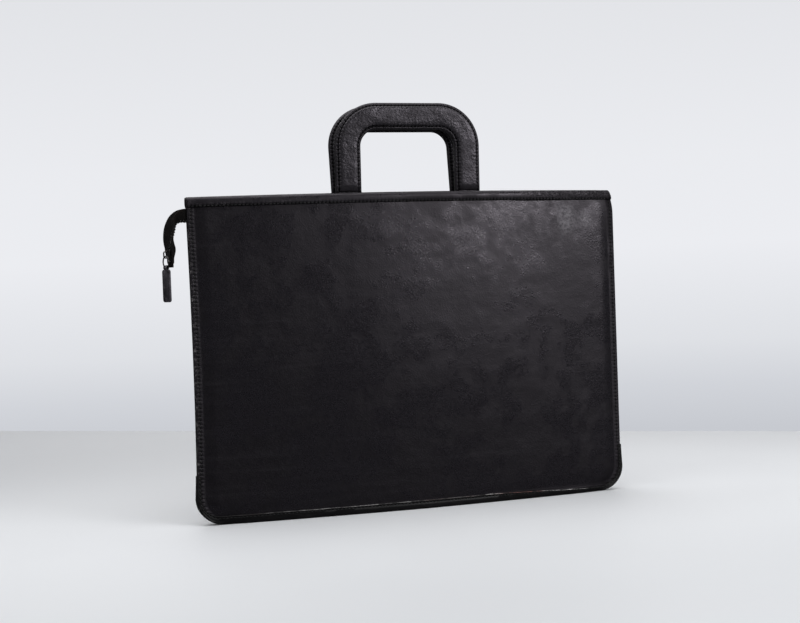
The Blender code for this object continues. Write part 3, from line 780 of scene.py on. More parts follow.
def sew(name, stitches, thread, slot):
    """One piece that holds all these stitches."""
    points, faces = unit_stitch()
    everything = []
    quads = []
    for centre, along, across, out in stitches:
        base = len(everything) * len(points)
        everything.append(centre + points[:, :1] * along + points[:, 1:2] * across + points[:, 2:] * out)
        quads += [[base + spot for spot in face] for face in faces]
    return finish_piece(new_piece(name, np.concatenate(everything), quads, [thread], sharp=80), slot)


# The panels


def panel_depth(x, z, side):
    """A panel's outer face with its seam, its waves and the leather's slight unevenness."""
    places = np.stack(np.broadcast_arrays(x, np.full_like(x, side * 0.1), z), axis=-1)
    inside = edge_distance(x, z)
    free = smooth((inside - FLANGE_WIDTH) / PANEL_FREE_REACH)
    waves = PANEL_WAVE * wander(places * (1.0, 1.0, 0.8), PANEL_WAVE_PITCH, 3)
    ripples = PANEL_RIPPLE * wander(places, PANEL_RIPPLE_PITCH, 5)
    rim = RIM_WAVE * wander(places, RIM_WAVE_PITCH, 8) * (1 - free)
    sewn = seam(inside - SEAM_INSET) * smooth((z - STRIP_TOP) / SEAM_START)
    turned = EDGE_TURN * clamp(1 - inside / FLANGE_WIDTH) ** 2
    return half_depth(x, z) + free * (waves + ripples) + rim - sewn - turned


def panel_columns(z):
    """Places across a panel at each height: very close beside the seams and puffs, even between them."""
    near = np.concatenate([np.linspace(*stretch) for stretch in EDGE_COLUMNS])
    left = edge_x(LEFT, z)[:, None]
    right = edge_x(RIGHT, z)[:, None]
    middle = np.linspace(0.0, 1.0, MIDDLE_COLUMNS)[None, 1:-1]
    first = left + near[-1]
    last = right - near[-1]
    return np.concatenate([left + near, first + (last - first) * middle, right - near[::-1]], axis=1)


def make_panel(name, side, leather):
    corner = corner_heights(PANEL_CORNER_ROWS)
    rows = np.concatenate([corner, np.linspace(corner[-1], CASE_HEIGHT - HEM_NOTCH, PANEL_ROWS)[1:]])
    x = panel_columns(rows)
    z = np.broadcast_to(rows[:, None], x.shape)
    points = np.stack([x, side * panel_depth(x, z, side), bowed(x, z)], axis=-1)
    faces = grid_faces(*x.shape)
    if side == BACK:
        faces = [face[::-1] for face in faces]
    low, high = seam_ends()
    number = (z - low) / (high - low) * stitch_count(panel_seam_line(side, LEFT))[0]
    panel = add_grid(name, points, faces, leather, "sewing", edge_distance(x, z), number)
    return round_edges(add_wall(panel, PANEL_WALL, -1), PANEL_EDGE_ROUNDING, 3)


def seam_ends():
    return STRIP_TOP + SEAM_CLEAR_OF_STRIP, CASE_HEIGHT - HEM_HEIGHT - SEAM_CLEAR_OF_HEM


def panel_seam_line(side, hand):
    """The sewn line down one flange of a panel, above the strip."""
    z = np.linspace(*seam_ends(), 300)
    x = edge_x(hand, z) - hand * SEAM_INSET
    depth = panel_depth(x, z, side) + STITCH_RADIUS * 0.75
    return np.stack([x, side * depth, bowed(x, z)], axis=-1)


def panel_seam(side):
    rows = [stitch_row(panel_seam_line(side, hand), (0.0, side, 0.0)) for hand in (LEFT, RIGHT)]
    return rows[0] + rows[1]


# The strip round the base

GROOVE_WALL_SHARE = 0.64
# Down the strip's lap: share of the lap's height, share of the wall
LAP_TOP = ((1.0, 0.30), (1.0, 0.72), (0.975, 0.95), (0.935, 1.0), (0.86, 1.0))
LAP_LOW = ((0.34, 1.0), (0.18, 1.0), (0.04, 0.98))
# Across the sewn groove between them: shift from its middle, share of the wall
LAP_GROOVE = ((0.070, 1.0), (0.035, 0.80), (0.0, GROOVE_WALL_SHARE), (-0.035, 0.80), (-0.070, 1.0))
# Round the lower corner: share of the drop to the floor, share of the wall
LAP_TURN = ((0.15, 0.97), (0.45, 0.82), (0.78, 0.45), (1.0, 0.0))
# Where the lap's groove lies, as a share of its height, along the base and up the sides
BASE_GROOVE = 0.70
SIDE_GROOVE = 0.52
# The part of the lap's height above which its cut edge shows
CUT_EDGE_SHARE = 0.93


def strip_path():
    """The panels' outline from the strip's left end round the base to its right end, and the way inward."""
    corner = corner_heights(CORNER_ROWS)
    heights = np.concatenate([corner, np.linspace(corner[-1], STRIP_TOP, 14)[1:]])
    left = np.stack([edge_x(LEFT, heights), heights], axis=-1)[::-1]
    right = np.stack([edge_x(RIGHT, heights), heights], axis=-1)
    base_x = np.linspace(left[-1, 0], right[0, 0], 150)[1:-1]
    base = np.stack([base_x, np.full_like(base_x, PANEL_BOTTOM)], axis=-1)
    path = np.concatenate([left, base, right])
    along = directions(path)
    return path, np.stack([-along[:, 1], along[:, 0]], axis=-1)


def strip_facts():
    """Along the strip: its path, inward direction, wall, lap height and where its seam lies on the lap."""
    path, inward = strip_path()
    travel = travel_along(path)
    from_end = np.minimum(travel, travel[-1] - travel)
    skived = np.where(path[:, 0] < 0, STRIP_SKIVED_WALL, STRIP_SKIVED_WALL / 2) * STRIP_END_SHARE
    wall = mix(skived, STRIP_WALL, smooth(from_end / STRIP_SKIVE_LENGTH))
    upright = np.abs(inward[:, 0])
    lap = mix(LAP_HEIGHT, LAP_SIDE_HEIGHT * SIDE_LAP_NARROWING, upright)
    to_right = smooth((path[:, 0] - RIGHT_LAP_FROM) / RIGHT_LAP_REACH)
    lap = lap * (1 - RIGHT_LAP_NARROWING * to_right * (1 - upright))
    ragged = wander(np.stack([path[:, 0], path[:, 1], path[:, 0] * 0], axis=-1), LAP_RAGGED_PITCH, 11)
    lap = lap + LAP_RAGGED * ragged * (1 - upright)
    return path, inward, wall, lap, mix(BASE_GROOVE, SIDE_GROOVE, upright)


def lap_level(path, inward, lap, share):
    """Places at a share of the lap's height, and how deep the case is there with the lap's clearance."""
    level = path + inward * (lap * share)[:, None]
    return level, half_depth(level[:, 0], level[:, 1]) + LAP_CLEARANCE


def make_base_strip(leather, raw):
    path, inward, wall, lap, groove = strip_facts()
    edge = half_depth(path[:, 0], path[:, 1])
    outside = []
    shares = []
    levels = [(np.full_like(lap, share), thick) for share, thick in LAP_TOP]
    levels += [(groove + shift, thick) for shift, thick in LAP_GROOVE]
    levels += [(np.full_like(lap, share), thick) for share, thick in LAP_LOW]
    for share, thick in levels:
        level, depth = lap_level(path, inward, lap, share)
        cover = wall * mix(thick, SIDE_LAP_SHARE * thick, smooth(np.abs(inward[:, 0])))
        outside.append((level, depth + cover))
        shares.append(float(share.max()))
    floor = path - inward * CLEARANCE
    under = floor - inward * wall[:, None]
    for drop, thick in LAP_TURN:
        spread = np.where(thick > 0, LAP_CLEARANCE + wall * thick, 0.0)
        outside.append((floor + (under - floor) * drop, edge + spread))
        shares.append(0.0)
    lining = [lap_level(path, inward, lap, share) for share in (1.0, 0.5)]
    lining.append((floor, edge + LAP_CLEARANCE))
    half = outside[::-1] + lining
    half_shares = shares[::-1] + [1.0, 0.5, 0.0]
    front = [np.stack([spot[:, 0], -depth, spot[:, 1]], axis=-1) for spot, depth in half]
    back = [np.stack([spot[:, 0], depth, spot[:, 1]], axis=-1) for spot, depth in half[::-1]]
    around = half_shares + half_shares[::-1]
    worn = [int(min(share, after) > CUT_EDGE_SHARE) for share, after in zip(around, around[1:] + around[:1])]
    return tube_piece("lapped_base_strip", np.stack(front + back, axis=1), [leather, raw], worn, sharp=55)


def strip_seam():
    path, inward, wall, lap, groove = strip_facts()
    level, depth = lap_level(path, inward, lap, groove)
    sunk = wall * GROOVE_WALL_SHARE * mix(1.0, SIDE_LAP_SHARE, smooth(np.abs(inward[:, 0])))
    depth = depth + sunk + STITCH_RADIUS * 0.7
    stitches = []
    for side in (FRONT, BACK):
        stitches += stitch_row(np.stack([level[:, 0], side * depth, level[:, 1]], axis=-1), (0.0, side, 0.0))
    return stitches


# The gussets


def make_gusset(name, side, leather):
    corner = corner_heights(CORNER_ROWS)
    lowest = PANEL_BOTTOM + CORNER_RADIUS * (1 - math.sin(GUSSET_END_ANGLE))
    z = np.concatenate([corner[corner > lowest], np.linspace(corner[-1], CASE_HEIGHT - FLANGE_STOP, 60)[1:]])
    path = np.stack([edge_x(side, z), z], axis=-1)
    along = directions(path)
    inward = np.stack([along[:, 1], -along[:, 0]], axis=-1) * -side
    gap = GUSSET_FOLD_GAP / 2
    half = gap + GUSSET_WALL
    bend = GUSSET_DEPTH - GUSSET_WALL
    soft = GUSSET_EDGE_ROUNDING
    angles = np.linspace(-np.pi / 2, np.pi / 2, 9)
    turn = [(bend + GUSSET_WALL * math.cos(a), half * math.sin(a)) for a in angles]
    section = [(soft, -half + 3 * soft), (4 * soft, -half), *turn, (4 * soft, half), (soft, half - 3 * soft)]
    section += [(soft, gap), (bend, gap), (bend, -gap), (soft, -gap)]
    places = np.stack([path[:, 0], path[:, 1], path[:, 1] * 0], axis=-1)
    uneven = GUSSET_UNEVEN * wander(places, GUSSET_UNEVEN_PITCH, 14)
    rings = []
    for reach, y in section:
        spot = path + inward * (reach + np.maximum(uneven, 0.0))[:, None]
        rings.append(np.stack([spot[:, 0], np.full(len(spot), y), spot[:, 1]], axis=-1))
    return tube_piece(name, np.stack(rings, axis=1), [leather])


# The hems

# Round the hem's roll: share of how far it stands out, share of its height, from the top down
HEM_ROLL = (
    (0.10, 1.00),
    (0.48, 0.97),
    (0.83, 0.85),
    (1.00, 0.66),
    (1.00, 0.40),
    (0.80, 0.17),
    (0.38, 0.04),
)


def fine_curve(points, steps):
    """More points on a smooth curve through the given ones."""
    points = np.asarray(points, float)
    before = np.concatenate([points[:1], points[:-1]])
    after = np.concatenate([points[1:], points[-1:]])
    beyond = np.concatenate([points[2:], points[-1:], points[-1:]])
    run = []
    for i in range(len(points) - 1):
        a, b, c, d = before[i], points[i], after[i], beyond[i]
        for step in range(steps):
            t = step / steps
            curve = b * 2 + (c - a) * t + (a * 2 - b * 5 + c * 4 - d) * t**2
            run.append((curve + (b * 3 - a - c * 3 + d) * t**3) / 2)
    run.append(points[-1])
    return np.array(run)


def hem_surface(x, out, drop, side):
    """A point of the hem's roll: how far it stands out of the panel, and how far it lies below the top."""
    z = CASE_HEIGHT + drop
    places = np.stack([x, np.full_like(x, side * 0.05 + drop), np.full_like(x, out)], axis=-1)
    lines = np.stack([x, np.full_like(x, side * 0.05), np.full_like(x, drop * 0.35)], axis=-1)
    crinkled = smooth((x - HEM_CRINKLE_FROM) / HEM_CRINKLE_REACH)
    crinkle = HEM_CRINKLE * crinkled * wander(lines, HEM_CRINKLE_PITCH, 21)
    lumps = HEM_LUMP * wander(places, HEM_LUMP_PITCH, 23)
    stands = out * (1 - HEM_FLATTENING * crinkled) + (crinkle + lumps) * clamp(out / HEM_PROUD)
    return np.stack([x, side * (half_depth(x, z) + stands), bowed(x, z)], axis=-1)


def hem_section():
    """Round the hem: how far each point stands out of the panel's face, and how far below the top it lies."""
    behind = -PANEL_WALL - CLEARANCE
    inner_face = behind - HEM_WALL
    section = []
    for out, down in fine_curve(HEM_ROLL, 4):
        sunk = seam(HEM_HEIGHT * down - HEM_SEAM_DROP, HEM_SEAM_DEPTH)
        section.append((HEM_PROUD * out - sunk, -HEM_HEIGHT * down))
    return section + [
        (behind * 0.15, -0.00008),
        (behind * 0.55, 0.0),
        (behind, -HEM_WALL * 0.2),
        (behind - HEM_WALL * 0.6, -HEM_WALL * 0.45),
        (inner_face, -HEM_WALL),
        (inner_face, -HEM_HEIGHT),
        (behind, -HEM_HEIGHT),
        (behind, CLEARANCE - HEM_NOTCH),
        (CLEARANCE, CLEARANCE - HEM_NOTCH),
    ]


def make_hem(name, side, leather):
    section = hem_section()
    left, right = [float(edge_x(hand, CASE_HEIGHT)) for hand in (LEFT, RIGHT)]
    near = np.array(HEM_END_COLUMNS)
    plain = np.linspace(left + HEM_END_REACH, HEM_FINE_FROM, 150)
    creased = np.linspace(HEM_FINE_FROM + HEM_FINE_STEP, right - HEM_END_REACH, 130)
    places = np.concatenate([left + near, plain, creased, right - near[::-1]])
    shares = (places - left) / (right - left)
    rings = []
    for out, drop in section:
        low, high = [float(edge_x(hand, CASE_HEIGHT + drop)) for hand in (LEFT, RIGHT)]
        rings.append(hem_surface(mix(low, high, shares), out, drop, side))
    rings = np.stack(rings, axis=1)
    middle = rings[:, :, 1].mean(axis=1, keepdims=True)
    for end in (0, -1):
        rings[end, :, 1] = mix(middle[end], rings[end, :, 1], HEM_END_DEPTH)
        rings[end, :, 2] = mix(rings[end, :, 2].mean(), rings[end, :, 2], HEM_END_HEIGHT)
    hem = tube_piece(name, rings, [leather], sharp=50)
    line = hem_seam_line(side)
    number = (rings[:, :, 0] - line[0, 0]) / (line[-1, 0] - line[0, 0]) * stitch_count(line)[0]
    beside = SEAM_INSET + HEM_SEAM_DROP + np.array([drop for out, drop in section])
    lay_out(hem.data, "sewing", np.broadcast_to(beside, number.shape), number)
    return hem


def hem_seam_line(side):
    left, right = [float(edge_x(hand, CASE_HEIGHT)) - hand * HEM_SEAM_END for hand in (LEFT, RIGHT)]
    line = hem_surface(np.linspace(left, right, 500), HEM_PROUD * HEM_SEAM_PROUD, -HEM_SEAM_DROP, side)
    line[:, 1] += side * (STITCH_RADIUS * 0.5 - HEM_SEAM_DEPTH)
    return line


def hem_seam(side):
    return stitch_row(hem_seam_line(side), (0.0, side * HEM_STITCH_OUT, -HEM_STITCH_DOWN))


# The handles


def leg_reach():
    return (HANDLE_WIDTH - HANDLE_BAND) / 2


def tongue_outer_depth():
    """Where the tongues' outer faces lie: just inside the hem's lining, at the farther leg."""
    farthest = abs(HANDLE_SHIFT) + HANDLE_WIDTH / 2
    lining = float(half_depth(farthest, CASE_HEIGHT)) - PANEL_WALL - CLEARANCE - HEM_WALL
    return lining - CLEARANCE


def handle_path():
    """Up the left leg, over the bar and down the right: x, z, the outward direction and the pad's share."""
    reach = leg_reach()
    bar = CASE_HEIGHT + HANDLE_HEIGHT - HANDLE_BAND / 2
    bend = bar - HANDLE_RADIUS
    inner = reach - HANDLE_RADIUS
    heights = np.concatenate(
        [
            np.linspace(CASE_HEIGHT - TONGUE_LENGTH, CASE_HEIGHT + TONGUE_SHOWS, 5),
            np.linspace(CASE_HEIGHT + TONGUE_SHOWS, CASE_HEIGHT + PAD_FULL, 12)[1:],
            np.linspace(CASE_HEIGHT + PAD_FULL, bend, 24)[1:-1],
        ]
    )
    left = []
    for z in heights:
        rise = (z - CASE_HEIGHT - TONGUE_SHOWS) / (PAD_FULL - TONGUE_SHOWS)
        left.append((-reach, z, -1.0, 0.0, float(clamp(rise)) ** PAD_RISE_POWER))
    for angle in np.linspace(0.0, np.pi / 2, 26):
        out = (-math.cos(angle), math.sin(angle))
        left.append((-inner + out[0] * HANDLE_RADIUS, bend + out[1] * HANDLE_RADIUS, *out, 1.0))
    across = [(x, bar, 0.0, 1.0, 1.0) for x in np.linspace(-inner, inner, 24)[1:-1]]
    right = [(-x, z, -out_x, out_z, pad) for x, z, out_x, out_z, pad in reversed(left)]
    return np.array(left + across + right)


# Across half the handle's band: share of its half width, share of its half thickness
HANDLE_SECTION = (
    (0.00, 1.00),
    (0.12, 1.00),
    (0.25, 0.998),
    (0.37, 0.995),
    (0.48, 0.985),
    (0.58, 0.965),
    (0.65, 0.91),
    (0.70, 0.80),
    (0.735, 0.60),
    (RIM_SEAM, 0.36),
    (0.79, 0.44),
    (0.83, 0.50),
    (0.89, 0.50),
    (0.945, 0.45),
    (0.98, 0.35),
    (0.996, 0.20),
    (0.990, 0.06),
)


def handle_point(row, across, thick, side, lean):
    """A point on a handle at one station of its path."""
    x, z, out_x, out_z, pad = row
    spot_x = x + out_x * across * HANDLE_BAND / 2
    spot_z = z + out_z * across * HANDLE_BAND / 2
    flat = math.copysign(TONGUE_WALL / 2, thick) * min(1.0, abs(thick) / 0.3)
    depth = mix(flat, thick * HANDLE_THICKNESS / 2, pad)
    leaning = math.tan(lean) * max(spot_z - CASE_HEIGHT - TONGUE_SHOWS, 0.0)
    seat = tongue_outer_depth() - TONGUE_WALL / 2
    return (spot_x + HANDLE_SHIFT, side * (seat + leaning + depth), spot_z)


def handle_outline():
    """Once round the handle's band: share of its half width, share of its half thickness."""
    half = list(HANDLE_SECTION)
    front = [(-a, t) for a, t in reversed(half)] + half[1:]
    return front + [(a, -t) for a, t in reversed(half)] + [(-a, -t) for a, t in half[1:]]


def make_handle(name, side, lean, leather, seed):
    around = handle_outline()
    path = handle_path()
    rings = np.array([[handle_point(row, a, t, side, lean) for a, t in around] for row in path])
    across = np.array([a for a, t in around])
    faces_out = np.array([math.copysign(1.0, t) for a, t in around])
    padded = path[:, 4:5] * (np.abs(across) < PAD_EDGE)[None, :]
    lumps = sum(high * wander(rings, pitch, seed + i) for i, (high, pitch) in enumerate(HANDLE_LUMPS))
    bending = np.abs(path[:, 2:3] * path[:, 3:4]) * 2
    inner = np.maximum(-across, 0.0)[None, :]
    angle = np.arctan2(path[:, 3:4], np.abs(path[:, 2:3]))
    folds = np.sin(angle * FOLD_TURNS + wander(rings, FOLD_WANDER_PITCH, seed + 2) * FOLD_WANDER)
    wrinkles = HANDLE_WRINKLE * bending * (OUTER_FOLDS + inner * INNER_FOLDS) * folds
    rings[:, :, 1] += side * faces_out[None, :] * padded * (lumps + wrinkles)
    piece = tube_piece(name, rings, [leather], sharp=60)
    number = np.zeros(rings.shape[:2])
    shown = path[:, 1] > CASE_HEIGHT + PAD_START
    for rim, near in ((-RIM_SEAM, across <= 0), (RIM_SEAM, across > 0)):
        line = np.array([handle_point(row, rim, RIM_SEAM_THICK, side, lean) for row in path[shown]])
        count, travel = stitch_count(line)
        along = np.zeros(len(path))
        along[shown] = travel / travel[-1] * count
        number[:, near] = along[:, None]
    lay_out(piece.data, "sewing", np.broadcast_to(across, number.shape), number)
    return piece


def handle_seam(side, lean):
    """Stitches down both rims on both faces, and across each leg where the padding starts."""
    path = handle_path()
    shown = path[path[:, 1] > CASE_HEIGHT + PAD_START]
    spread = np.linspace(-LEG_SEAM_HALF_SPREAD, LEG_SEAM_HALF_SPREAD, 24)
    thick = np.interp(np.abs(spread), *zip(*HANDLE_SECTION))
    stitches = []
    for face in (1.0, -1.0):
        out = (0.0, side * face, 0.0)
        for rim in (-RIM_SEAM, RIM_SEAM):
            line = [handle_point(row, rim, face * RIM_SEAM_THICK, side, lean) for row in shown]
            stitches += stitch_row(line, out, radius=RIM_STITCH_RADIUS)
        for leg in (-1, 1):
            row = (leg * leg_reach(), CASE_HEIGHT + LEG_SEAM_RISE, leg, 0.0, LEG_SEAM_PAD)
            line = [handle_point(row, a, face * t, side, lean) for a, t in zip(spread, thick)]
            stitches += stitch_row(line, out, pitch=LEG_STITCH_PITCH, length=LEG_STITCH_LENGTH)
    return stitches


# The zip


def tongue_half_room():
    return HANDLE_BAND / 2 + 2 * CLEARANCE


def sewn_depth(x):
    """How far from the middle plane the tape is sewn: against the panel, or over the tongues."""
    z = CASE_HEIGHT - TAPE_DROP
    at_panel = float(half_depth(x, z)) - PANEL_WALL - CLEARANCE - TAPE_WALL / 2
    over_tongue = tongue_outer_depth() - TONGUE_WALL - CLEARANCE - TAPE_WALL / 2
    beside = abs(abs(x - HANDLE_SHIFT) - leg_reach()) - tongue_half_room()
    return min(at_panel, over_tongue + TAPE_SIDE_SLOPE * max(beside, 0.0))


def tape_run(side):
    """The tape's sewn and toothed edges, from its closed end on the right, along the mouth, down the tail."""
    z = CASE_HEIGHT - TAPE_DROP
    left = float(edge_x(LEFT, z))
    right = float(edge_x(RIGHT, z)) - TAPE_END_INSET
    stations = []
    for x in np.linspace(right, left, 110):
        sewn = max(sewn_depth(x), TAPE_HALF_GAP)
        toothed = min(sewn, TAPE_OPEN_HALF)
        wavy = wander((x, side * 0.1, 0.0), TAPE_UNEVEN_PITCH, 31)
        uneven = TAPE_UNEVEN * float(wavy) * float(smooth((x - left) / 0.02))
        inner = side * max(toothed + uneven, TAPE_HALF_GAP)
        stations.append(((x, side * sewn, z), (x, inner, z - TAPE_HANG)))
    whole_drop = TAIL_STATIONS[-1][1] * TAPE_WIDTH
    tail = [stations[-1]]
    start = Vector((left, 0, z))
    for out, down, sewn_out, sewn_down, spread in TAIL_STATIONS:
        turn = Matrix.Rotation(TAIL_TURN * float(smooth(2 * down * TAPE_WIDTH / whole_drop)), 3, "Z")
        toothed = turn @ Vector((0, side * TAPE_HALF_GAP, 0)) + start + Vector((-out, 0, -down)) * TAPE_WIDTH
        aside = turn @ Vector((0, side * spread * TAPE_WIDTH, 0)) + start
        aside += Vector((-sewn_out, 0, -sewn_down)) * TAPE_WIDTH
        tail.append((tuple(aside), tuple(toothed)))
    tail = np.array(tail).reshape(len(tail), 6)
    curve = fine_curve(tail, 7)
    mouth = np.array(stations[:-1]).reshape(-1, 6)
    run = np.concatenate([mouth, curve])
    return run[:, :3], run[:, 3:]


def make_tape(name, side, woven):
    sewn, toothed = tape_run(side)
    shares = np.linspace(0.0, 1.0, 9)
    below = smooth((slider_frame().translation.z + SLIDER_LENGTH - toothed[:, 2]) / SLIDER_LENGTH)
    left_on = 1 - TAIL_TRIM * below * (toothed[:, 0] < -CASE_WIDTH / 2)
    reach = (shares[None, :] * left_on[:, None])[..., None]
    points = toothed[:, None, :] * (1 - reach) + sewn[:, None, :] * reach
    shape = points.shape[:2]
    travel = np.broadcast_to(travel_along(sewn)[:, None], shape)
    across = np.broadcast_to(shares * TAPE_WIDTH, shape)
    return add_wall(add_grid(name, points, grid_faces(*shape), woven, "UVMap", travel, across), TAPE_WALL, 0)


def slider_frame():
    """The slider's own frame: X out of the tail's face, Y across the tail, Z up it."""
    exit_z = CASE_HEIGHT - TAPE_DROP
    out = TAIL_STATIONS[-2][0] * TAPE_WIDTH
    middle = Vector((float(edge_x(LEFT, exit_z)) - out, 0, exit_z - SLIDER_STATION * TAPE_WIDTH))
    return Matrix.Translation(middle) @ Matrix.Rotation(TAIL_TURN + math.pi, 4, "Z")


def make_teeth(name, side, metal):
    """Small moulded teeth along a tape's toothed edge, left out inside the slider."""
    sewn, toothed = tape_run(side)
    travel = travel_along(toothed)
    start = TOOTH_PITCH * (0.5 if side == FRONT else 1.0)
    low = slider_frame().translation.z - TEETH_CLEAR_OF_SLIDER
    high = low + SLIDER_LENGTH + 2 * TEETH_CLEAR_OF_SLIDER
    shape = bmesh.new()
    for spot in np.arange(start, travel[-1] - TOOTH_PITCH, TOOTH_PITCH):
        here = Vector(points_at(spot, travel, toothed))
        if low < here.z < high:
            continue
        out = (here - Vector(points_at(spot, travel, sewn))).normalized()
        along = (Vector(points_at(spot + 0.0005, travel, toothed)) - here).normalized()
        along = (along - out * along.dot(out)).normalized()
        turn = Matrix((along, out, out.cross(along))).transposed().to_4x4()
        place = Matrix.Translation(here - out * TOOTH_SINK) @ turn @ Matrix.Diagonal((*TOOTH_SIZE, 1.0))
        bmesh.ops.create_cube(shape, size=1.0, matrix=place)
    return round_edges(add_shape(name, shape, metal), TOOTH_ROUNDING, 2)


def plate_outer():
    return TAPE_WALL / 2 + CLEARANCE + PLATE_WALL


def add_plate(shape, low_x, high_x):
    """One of the slider's plates, narrower at its lower end, with rounded corners."""
    place = Matrix.Translation(((low_x + high_x) / 2, 0, SLIDER_LENGTH / 2))
    place = place @ Matrix.Diagonal((high_x - low_x, SLIDER_WIDTH, SLIDER_LENGTH, 1.0))
    edges = []
    for vert in bmesh.ops.create_cube(shape, size=1.0, matrix=place)["verts"]:
        if vert.co.z < SLIDER_LENGTH / 2:
            vert.co.y *= SLIDER_NOSE_WIDTH / SLIDER_WIDTH
        for edge in vert.link_edges:
            if edge not in edges and abs(edge.verts[0].co.x - edge.verts[1].co.x) > PLATE_WALL / 2:
                edges.append(edge)
    bmesh.ops.bevel(shape, geom=edges, offset=PLATE_WALL, segments=5, profile=0.5, affect="EDGES")


def make_slider(metal):
    outer = plate_outer()
    shape = bmesh.new()
    add_plate(shape, outer - PLATE_WALL, outer)
    add_plate(shape, -outer, PLATE_WALL - outer)
    post = Matrix.Translation((0, 0, SLIDER_LENGTH - PLATE_WALL - POST_LENGTH / 2))
    post = post @ Matrix.Diagonal((2 * outer - PLATE_WALL, POST_WIDTH, POST_LENGTH, 1.0))
    bmesh.ops.create_cube(shape, size=1.0, matrix=post)
    bmesh.ops.recalc_face_normals(shape, faces=shape.faces)
    slider = add_shape("slider_body", shape, metal)
    slider.matrix_world = slider_frame()
    return round_edges(slider, SLIDER_EDGE_ROUNDING, 3)


def make_bail(metal):
    """The arch on the slider, a bent wire that the ring hangs on."""
    foot = plate_outer() - PLATE_WALL / 2
    top = plate_outer() + BAIL_RISE
    low = BAIL_FOOT
    high = low + BAIL_LENGTH
    bend = BAIL_RISE / BAIL_BEND_DIVISOR
    turn = [(bend * math.sin(a), bend * math.cos(a)) for a in np.linspace(0, np.pi / 2, 7)]
    route = [(foot, 0, low)]
    route += [(top - bend + rise, 0, low + bend - run) for rise, run in turn]
    route += [(top - bend + run, 0, high - bend + rise) for rise, run in turn]
    route.append((foot, 0, high))
    curve = bpy.data.curves.new("slider_bail", "CURVE")
    curve.dimensions = "3D"
    curve.bevel_depth = BAIL_WIRE / 2
    curve.bevel_resolution = 4
    curve.use_fill_caps = True
    spline = curve.splines.new("POLY")
    spline.points.add(len(route) - 1)
    for point, spot in zip(spline.points, route):
        point.co = (*spot, 1)
    holder = bpy.data.objects.new("slider_bail_curve", curve)
    bpy.context.scene.collection.objects.link(holder)
    mesh = bpy.data.meshes.new_from_object(holder.evaluated_get(bpy.context.evaluated_depsgraph_get()))
    bpy.data.objects.remove(holder, do_unlink=True)
    bail = add_piece("slider_bail", mesh, metal)
    bail.matrix_world = slider_frame()
    return bail


def ring_frame():
    """The ring hangs on the arch's lower foot: X through the ring, Y across it, Z up."""
    wire_x = plate_outer() + BAIL_RISE / 2 + CLEARANCE / 2
    wire_z = BAIL_FOOT + (BAIL_WIRE + RING_WIRE) / 2 + CLEARANCE
    hang = Matrix.Translation((wire_x, 0, wire_z - RING_RADIUS))
    return slider_frame() @ hang @ Matrix.Rotation(RING_TURN, 4, "Z")


def make_ring(metal):
    around = np.linspace(0, 2 * np.pi, 56, endpoint=False)[:, None]
    section = np.linspace(0, 2 * np.pi, 14, endpoint=False)[None, :]
    reach = RING_RADIUS + RING_WIRE / 2 * np.cos(section)
    y = reach * np.cos(around)
    z = reach * np.sin(around)
    x = np.broadcast_to(RING_WIRE / 2 * np.sin(section), y.shape)
    faces = grid_faces(*y.shape, around=True, closed=True)
    ring = new_piece("pull_ring", np.stack([x, y, z], axis=-1), faces, [metal], sharp=80)
    ring.matrix_world = ring_frame()
    return ring


def pull_frame():
    return ring_frame() @ Matrix.Translation((0, 0, -RING_RADIUS + CLEARANCE / 2))


# Across half the pull: share of its half width, share of its half thickness, with the sewn groove at 0.74
PULL_SECTION = (
    (0.0, 1.0),
    (0.35, 0.98),
    (0.55, 0.92),
    (0.68, 0.78),
    (0.74, 0.66),
    (0.80, 0.72),
    (0.90, 0.70),
    (0.97, 0.5),
    (1.0, 0.0),
)
PULL_END_STEPS = (0.0, 0.00025, 0.0007)


def make_pull(leather):
    """The leather tab: two layers sewn round their edges, fuller in the middle."""
    top = EYE_OVERLAP - EYE_RADIUS
    ends = np.array(PULL_END_STEPS)
    middle = np.linspace(PULL_END_TAPER, PULL_LENGTH - PULL_END_TAPER, 26)
    around = list(PULL_SECTION) + [(a, -t) for a, t in PULL_SECTION[-2::-1]]
    around += [(-a, -t) for a, t in PULL_SECTION[1:]] + [(-a, t) for a, t in PULL_SECTION[-2:0:-1]]
    rings = []
    for step in np.concatenate([ends, middle, PULL_LENGTH - ends[::-1]]):
        from_end = min(step, PULL_LENGTH - step)
        into_corner = max(PULL_CORNER_ROUNDING - from_end, 0.0)
        inset = PULL_CORNER_ROUNDING - math.sqrt(max(PULL_CORNER_ROUNDING**2 - into_corner**2, 0.0))
        thin = min(1.0, PULL_END_THICK + from_end / PULL_END_TAPER * (1 - PULL_END_THICK))
        half = PULL_THICKNESS / 2 * math.sin(thin * math.pi / 2)
        rings.append([(t * half, a * (PULL_WIDTH / 2 - inset), top - step) for a, t in around])
    pull = tube_piece("pull_tab", np.array(rings), [leather], sharp=70)
    pull.matrix_world = pull_frame()
    return pull


def make_eye(leather):
    """The loop at the tab's head that the ring goes through."""
    around = np.linspace(0, 2 * np.pi, 36, endpoint=False)
    soft = EYE_EDGE_ROUNDING
    half = EYE_LENGTH / 2
    profile = [(EYE_BORE + soft, -half), (EYE_RADIUS - soft, -half), (EYE_RADIUS, -half + soft)]
    profile += [(EYE_RADIUS, half - soft), (EYE_RADIUS - soft, half), (EYE_BORE + soft, half)]
    profile += [(EYE_BORE, half - soft), (EYE_BORE, -half + soft)]
    points = np.array([[(r * math.cos(a), y, r * math.sin(a)) for r, y in profile] for a in around])
    faces = grid_faces(len(around), len(profile), around=True, closed=True)
    eye = new_piece("pull_eye", points, faces, [leather], sharp=50)
    eye.matrix_world = pull_frame()
    return eye


